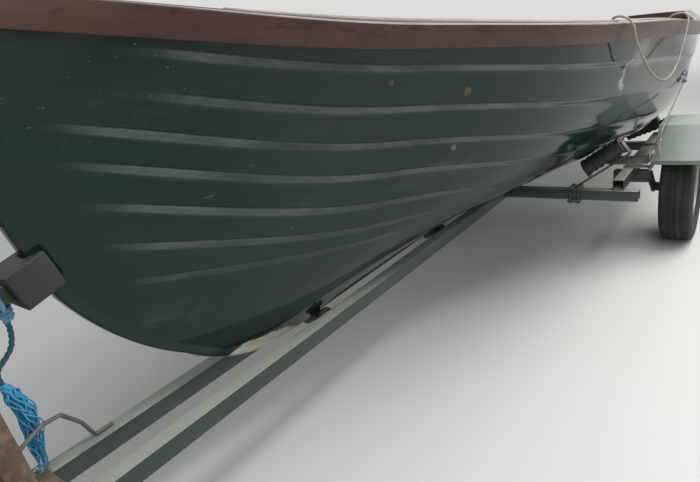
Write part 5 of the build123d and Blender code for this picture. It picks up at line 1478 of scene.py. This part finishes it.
# over the mudguard's inner front corner and down to its stay
LASH_ROUTE = (
    (-1.140, 0.834, 0.836), (-0.900, 0.818, 0.7505), (-0.660, 0.8025, 0.668),
    (-0.618, 0.7995, 0.654), (-0.610, 0.797, 0.632), (-0.609, 0.787, 0.590),
    (-0.611, 0.770, 0.530), (-0.621, 0.757, 0.494),
)
LASH_KNOT = (Vector((-0.6095, 0.7925, 0.613)), Vector((-0.609, 0.787, 0.586)))
# route of the loose end from the foot of the knot
LOOSE_END = ((0, 0, 0), (0.016, 0.006, -0.004), (0.024, 0.010, -0.030), (0.014, 0.012, -0.062))
STAY_WRAP = ((-0.674, 0.450), (-0.626, 0.450), (-0.626, 0.528), (-0.674, 0.528))
STAY_WRAP_Y = 0.752
CIRCLE_STEPS = 28
TAUT_STEP = 0.004


def circle_path(centre, first, second, radius, turns=1.0, rise=Vector()):
    """Points round a circle or along a helix, rise being its whole shift."""
    count = max(round(CIRCLE_STEPS * turns), 8)
    path = []
    for k in range(count + 1):
        angle = 2 * math.pi * turns * k / count
        around = first * math.cos(angle) + second * math.sin(angle)
        path.append(centre + around * radius + rise * (k / count))
    return path


def straight(a, b):
    """Points along a straight run between two places."""
    count = max(round((b - a).length / TAUT_STEP), 2)
    return [a.lerp(b, k / count) for k in range(count + 1)]


def knot_paths(a, b, radius, turns):
    """Wraps round a taut rope between two places on it."""
    ahead = (b - a).normalized()
    first = ahead.orthogonal().normalized()
    return circle_path(a, first, ahead.cross(first), radius, turns, b - a)


def build_winch_rope():
    """Turns on the drum, and the taut part from there to the bow eye with its knotted loop."""
    centre, axis = joint_of("winch_turn")
    up, fore, across = Vector((0, 0, 1)), Vector((1, 0, 0)), Vector((0, 1, 0))
    reach = axis * DRUM_HALF * WOUND_SHARE
    coil = DRUM_CORE + WINCH_ROPE
    wound = circle_path(centre - reach, -fore, up, coil, WOUND_TURNS, 2 * reach)
    rope_piece("winch_rope_turns", [wound], WINCH_ROPE, "blue_rope", "winch", around=12)
    leave = centre + LEAVE * coil
    ahead = (leave - RING_GRIP).normalized()
    loop = circle_path(RING_GRIP, ahead, across, LOOP_RADIUS)
    taut = straight(RING_GRIP + ahead * LOOP_RADIUS, leave)
    knot = knot_paths(RING_GRIP + ahead * 0.022, RING_GRIP + ahead * 0.044, 0.0085, 3)
    rope_piece("winch_rope_taut", [loop, taut, knot], WINCH_ROPE, "blue_rope", around=12)


def build_lashing():
    """Taut lashing from a ring on the port topside to the mudguard's stay, with its knot."""
    out = Vector((0, 1, 0))
    path = smooth_route(LASH_ROUTE)
    down = (path[1] - path[0]).normalized()
    ring = bmesh.new()
    middle = LASH_RING + out * 0.010 + down * 0.016
    hoop = circle_path(middle, down, out.cross(down), RING_RADIUS)
    staple = circle_path(LASH_RING - out * 0.004, out, Vector((0, 0, 1)), STAPLE_RADIUS)
    for steel in (hoop, staple):
        lay_rope(ring, steel, RING_WIRE, strands=0, around=10)
    finished("lashing_ring", ring, "zinc_steel")
    stay = [Vector((x, STAY_WRAP_Y, z)) for x, z in rounded(STAY_WRAP, 0.012, 5)]
    paths = [
        path,
        stay + stay[:1],
        knot_paths(*LASH_KNOT, 0.0085, 3),
        knot_paths(path[2], path[2] + down * 0.024, 0.0080, 2.5),
        smooth_route([LASH_KNOT[1] + Vector(step) for step in LOOSE_END], 12),
    ]
    rope_piece("taut_lashing", paths, LASH_RADIUS, "rope", around=12)


# Studio


FLOOR_REACH = 60.0
FLOOR_FADE = (3.8, 12.0)
FILL_TINT = (0.92, 0.96, 1.0)
WARM = (1.0, 0.98, 0.94)
COOL = (0.95, 0.98, 1.0)
SENSOR_WIDTH = 36.0


def look_basis(yaw, pitch, roll):
    """Camera axes from its heading, dip and roll."""
    level = math.cos(pitch)
    view = Vector((math.cos(yaw) * level, math.sin(yaw) * level, -math.sin(pitch)))
    right = Vector((math.sin(yaw), -math.cos(yaw), 0))
    up = right.cross(view)
    turned_right = right * math.cos(roll) + up * math.sin(roll)
    turned_up = up * math.cos(roll) - right * math.sin(roll)
    return view, turned_right, turned_up


def build_camera(props):
    """Camera that sees the boat as the photo does."""
    view, right, up = look_basis(props.heading, props.dip, props.roll)
    data = bpy.data.cameras.new("Camera")
    data.lens = props.lens
    data.sensor_width = SENSOR_WIDTH
    data.clip_start = 0.02
    camera = linked("Camera", data)
    turn = Matrix((right, up, -view)).transposed().to_4x4()
    camera.matrix_world = Matrix.Translation(Vector(props.eye)) @ turn
    bpy.context.scene.camera = camera


def area_lamp(name, place, aim, size, power, color=(1, 1, 1)):
    """Rectangular lamp at a place, turned towards aim."""
    data = bpy.data.lights.new(name, "AREA")
    data.shape = "RECTANGLE"
    data.size, data.size_y = size
    data.energy = power
    data.color = color
    lamp = linked(name, data)
    lamp.location = place
    lamp.rotation_euler = (Vector(aim) - Vector(place)).to_track_quat("-Z", "Y").to_euler()


def shown_rays(tree):
    """1 for rays that show the background: seen, mirrored or through glass."""
    path = tree.nodes.new("ShaderNodeLightPath")
    total = path.outputs["Is Camera Ray"]
    for kind in ("Is Glossy Ray", "Is Transmission Ray"):
        step = tree.nodes.new("ShaderNodeMath")
        step.operation = "ADD"
        step.use_clamp = True
        tree.links.new(total, step.inputs[0])
        tree.links.new(path.outputs[kind], step.inputs[1])
        total = step.outputs[0]
    return total


def build_floor(props):
    """Plain pale floor that runs into the background far from the boat."""
    mesh = bmesh.new()
    bmesh.ops.create_grid(mesh, x_segments=1, y_segments=1, size=FLOOR_REACH)
    data = bpy.data.meshes.new("Floor")
    mesh.to_mesh(data)
    mesh.free()
    floor = linked("Floor", data)
    f = Finish("Studio floor", roughness=0.75)
    tone = tuple(props.floor_tone)
    base = f.mix(f.noise(0.9, 5, 0.6), tone, blended(tone, (0.25, 0.24, 0.22), 0.12))
    f.done(base, None, f.bump(f.noise(60.0, 3), 0.0003))
    far = f.window(f.away((0, 0, 0)), *FLOOR_FADE)
    glow = f.node("ShaderNodeEmission")
    glow.inputs["Color"].default_value = (*props.background, 1)
    mix = f.node("ShaderNodeMixShader")
    f.feed(mix.inputs[0], f.math("MULTIPLY", far, shown_rays(f.tree)))
    f.feed(mix.inputs[1], f.shader.outputs[0])
    f.feed(mix.inputs[2], glow.outputs[0])
    f.feed(f.tree.nodes["Material Output"].inputs["Surface"], mix.outputs[0])
    data.materials.append(f.material)


def build_world(props):
    """Even studio light with a pale background behind the object."""
    world = bpy.data.worlds.new("Studio")
    bpy.context.scene.world = world
    world.use_nodes = True
    tree = world.node_tree
    tree.nodes.clear()

    def glow(color, strength):
        made = tree.nodes.new("ShaderNodeBackground")
        made.inputs["Color"].default_value = (*color, 1)
        made.inputs["Strength"].default_value = strength
        return made.outputs[0]

    mix = tree.nodes.new("ShaderNodeMixShader")
    tree.links.new(shown_rays(tree), mix.inputs[0])
    tree.links.new(glow(FILL_TINT, props.fill), mix.inputs[1])
    tree.links.new(glow(props.background, 1.0), mix.inputs[2])
    output = tree.nodes.new("ShaderNodeOutputWorld")
    tree.links.new(mix.outputs[0], output.inputs["Surface"])
    bpy.context.scene.view_settings.view_transform = "Standard"


def build_studio(props):
    """Camera, floor and background, and the four lamps."""
    build_camera(props)
    build_floor(props)
    build_world(props)
    # name, place, aim, size, power and colour of each lamp
    for lamp in (
        ("Side light", (0.2, 1.45, 2.9), (0.2, 1.30, 0.0), (5.0, 0.5), props.side_power),
        ("Roof light", (-1.5, 1.5, 4.6), (-1.0, 0.4, 0.8), (4.5, 3.0), props.roof_power),
        ("Door light", (-4.6, 4.2, 2.8), (-0.6, 0.6, 0.7), (3.0, 2.2), props.door_power, WARM),
        ("Bow light", (4.6, 3.6, 2.8), (1.0, 0.2, 0.8), (2.6, 2.0), props.bow_power, COOL),
    ):
        area_lamp(*lamp)


# Settings


def number(name, description, default, **kind):
    """Setting that is one number, kind being its unit or subtype."""
    return FloatProperty(name=name, description=description, default=default, **kind)


def whole(name, description, default):
    """Setting that is a count."""
    return IntProperty(name=name, description=description, default=default, min=1)


def colour(name, description, default):
    """Setting that is a colour."""
    return FloatVectorProperty(
        name=name, description=description, default=default, subtype="COLOR"
    )


class BoatHull(PropertyGroup):
    """Mesh steps, laps and colours of the hull and its timber"""

    rows_aft: whole("Rows aft", "Sections of skin from the transom to the last station", 72)
    rows_bow: whole("Rows at the bow", "Sections from there to the stem", 34)
    lap_points: whole("Lap points", "Points across each lap's ramp", 6)
    lap_width: number("Lap width", "Width of each lap's soft ramp", 0.022, unit="LENGTH")
    # how pale the lap ramps are painted, a painted reflection
    lap_sheen: number("Lap sheen", "How pale the rubbed laps are", 0.30, subtype="FACTOR")
    green: colour("Topside green", "Colour of the gelcoat", (0.003, 0.022, 0.019))
    inside: colour("Inside", "Colour of the inner flow coat", (0.36, 0.37, 0.34))
    mahogany: colour("Mahogany", "Colour of the varnished timber", (0.044, 0.0165, 0.0130))


class BoatTrailer(PropertyGroup):
    """Colours of the trailer and its ropes, and the detail of its wheels"""

    paint: colour("Chassis paint", "Colour of the chassis", (0.016, 0.038, 0.028))
    scuffed: colour("Scuffed top", "Colour of worn upper faces", (0.33, 0.34, 0.29))
    mudguard: colour("Mudguard paint", "Colour of the mudguards", (0.165, 0.205, 0.172))
    rope: colour("Mooring line", "Colour of the line", (0.42, 0.41, 0.33))
    blue_rope: colour("Winch rope", "Colour of the winch rope", (0.014, 0.210, 0.360))
    tread_depth: number("Tread depth", "Depth of the tyre's grooves", 0.0045, unit="LENGTH")
    tyre_steps: whole("Tyre steps", "Sections round each tyre", 256)
    roller_steps: whole("Roller steps", "Sections round each roller", 40)


class BoatStudio(PropertyGroup):
    """Camera, background and lamps"""

    eye: FloatVectorProperty(
        name="Camera place",
        description="Where the camera stands",
        default=(2.314, 1.180, 1.217),
        subtype="XYZ",
        unit="LENGTH",
    )
    heading: number("Heading", "Camera's turn from +X", math.radians(219.403), unit="ROTATION")
    dip: number("Dip", "Camera's angle below level", math.radians(19.319), unit="ROTATION")
    roll: number("Roll", "Camera's roll", math.radians(-8.885), unit="ROTATION")
    lens: number("Lens", "Focal length", 27.27, unit="CAMERA")
    floor_tone: colour("Floor", "Colour of the floor", (0.74, 0.73, 0.71))
    background: colour("Background", "Colour far behind", (0.72, 0.72, 0.71))
    fill: number("Fill", "Strength of the even light", 0.42)
    roof_power: number("Roof light", "Power of the lamp overhead", 110.0, unit="POWER")
    door_power: number("Door light", "Power of the lamp astern", 90.0, unit="POWER")
    side_power: number("Side light", "Power of the lamp over the port side", 55.0, unit="POWER")
    bow_power: number("Bow light", "Power of the lamp at the bow", 40.0, unit="POWER")


# Operators


class BOAT_OT_studio(Operator):
    """Camera, floor, world and lamps"""

    bl_idname = "boat.studio"
    bl_label = "Studio"

    def execute(self, context):
        build_studio(context.scene.boat_studio)
        return {"FINISHED"}


class BOAT_OT_hull(Operator):
    """Clinker skin with keel and stem"""

    bl_idname = "boat.hull"
    bl_label = "Hull"

    def execute(self, context):
        build_hull(context.scene.boat_hull)
        return {"FINISHED"}


class BOAT_OT_gunwales(Operator):
    """Rubbing strakes, inwales and risers"""

    bl_idname = "boat.gunwales"
    bl_label = "Gunwales"

    def execute(self, context):
        build_gunwales()
        return {"FINISHED"}


class BOAT_OT_timber(Operator):
    """Thwarts, transom, breasthook and floorboards with eased edges"""

    bl_idname = "boat.timber"
    bl_label = "Timber"

    def execute(self, context):
        ease_all(EASED_TIMBER)
        return {"FINISHED"}


class BOAT_OT_chassis(Operator):
    """Beams, arms, rails, mudguards and fittings with eased edges"""

    bl_idname = "boat.chassis"
    bl_label = "Chassis"

    def execute(self, context):
        ease_all(EASED_STEEL)
        build_bolts()
        return {"FINISHED"}


class BOAT_OT_wheels(Operator):
    """Treaded road tyres and wheel nuts"""

    bl_idname = "boat.wheels"
    bl_label = "Road wheels"

    def execute(self, context):
        for side, outboard in SIDES:
            build_tyre(context.scene.boat_trailer, side, outboard)
            build_wheel_nuts(side, outboard)
        return {"FINISHED"}


class BOAT_OT_rollers(Operator):
    """Bilge and keel rollers and the jockey wheel"""

    bl_idname = "boat.rollers"
    bl_label = "Rollers"

    def execute(self, context):
        steps = context.scene.boat_trailer.roller_steps
        build_side_rollers(steps)
        build_keel_rollers(steps)
        build_jockey_wheel(steps)
        return {"FINISHED"}


class BOAT_OT_ropes(Operator):
    """Mooring line, winch rope and lashing"""

    bl_idname = "boat.ropes"
    bl_label = "Ropes"

    def execute(self, context):
        build_mooring_line()
        build_winch_tail()
        build_winch_rope()
        build_lashing()
        return {"FINISHED"}


class BOAT_OT_finishes(Operator):
    """Finish of every solid that shows as it is"""

    bl_idname = "boat.finishes"
    bl_label = "Finishes"

    def execute(self, context):
        for name, node in NODES.items():
            if node.hide_render:
                continue
            material = finish_for(SLOT_OF[name], name)
            if not node.material_slots:
                node.data.materials.append(material)
            for held in node.material_slots:
                held.material = material
        return {"FINISHED"}


PIECES = (
    BOAT_OT_studio,
    BOAT_OT_hull,
    BOAT_OT_gunwales,
    BOAT_OT_timber,
    BOAT_OT_chassis,
    BOAT_OT_wheels,
    BOAT_OT_rollers,
    BOAT_OT_ropes,
    BOAT_OT_finishes,
)


class BOAT_PT_sidebar(Panel):
    """Lists the pieces and their settings"""

    bl_label = "Boat on trailer"
    bl_idname = "BOAT_PT_sidebar"
    bl_space_type = "VIEW_3D"
    bl_region_type = "UI"
    bl_category = "Boat"

    def draw(self, context):
        layout = self.layout
        scene = context.scene
        for group in (scene.boat_hull, scene.boat_trailer, scene.boat_studio):
            box = layout.box()
            for name in group.__annotations__:
                box.prop(group, name)
        for piece in PIECES:
            layout.operator(piece.bl_idname)


GROUPS = (BoatHull, BoatTrailer, BoatStudio)


def register():
    for each in GROUPS + PIECES + (BOAT_PT_sidebar,):
        bpy.utils.register_class(each)
    bpy.types.Scene.boat_hull = PointerProperty(type=BoatHull)
    bpy.types.Scene.boat_trailer = PointerProperty(type=BoatTrailer)
    bpy.types.Scene.boat_studio = PointerProperty(type=BoatStudio)


def unregister():
    del bpy.types.Scene.boat_studio
    del bpy.types.Scene.boat_trailer
    del bpy.types.Scene.boat_hull
    for each in reversed(GROUPS + PIECES + (BOAT_PT_sidebar,)):
        bpy.utils.unregister_class(each)


def main():
    register()
    bpy.ops.boat.studio()
    bpy.ops.boat.ropes()
    bpy.ops.boat.hull()
    bpy.ops.boat.gunwales()
    bpy.ops.boat.timber()
    bpy.ops.boat.chassis()
    bpy.ops.boat.wheels()
    bpy.ops.boat.rollers()
    bpy.ops.boat.finishes()


if __name__ == "__main__":
    main()
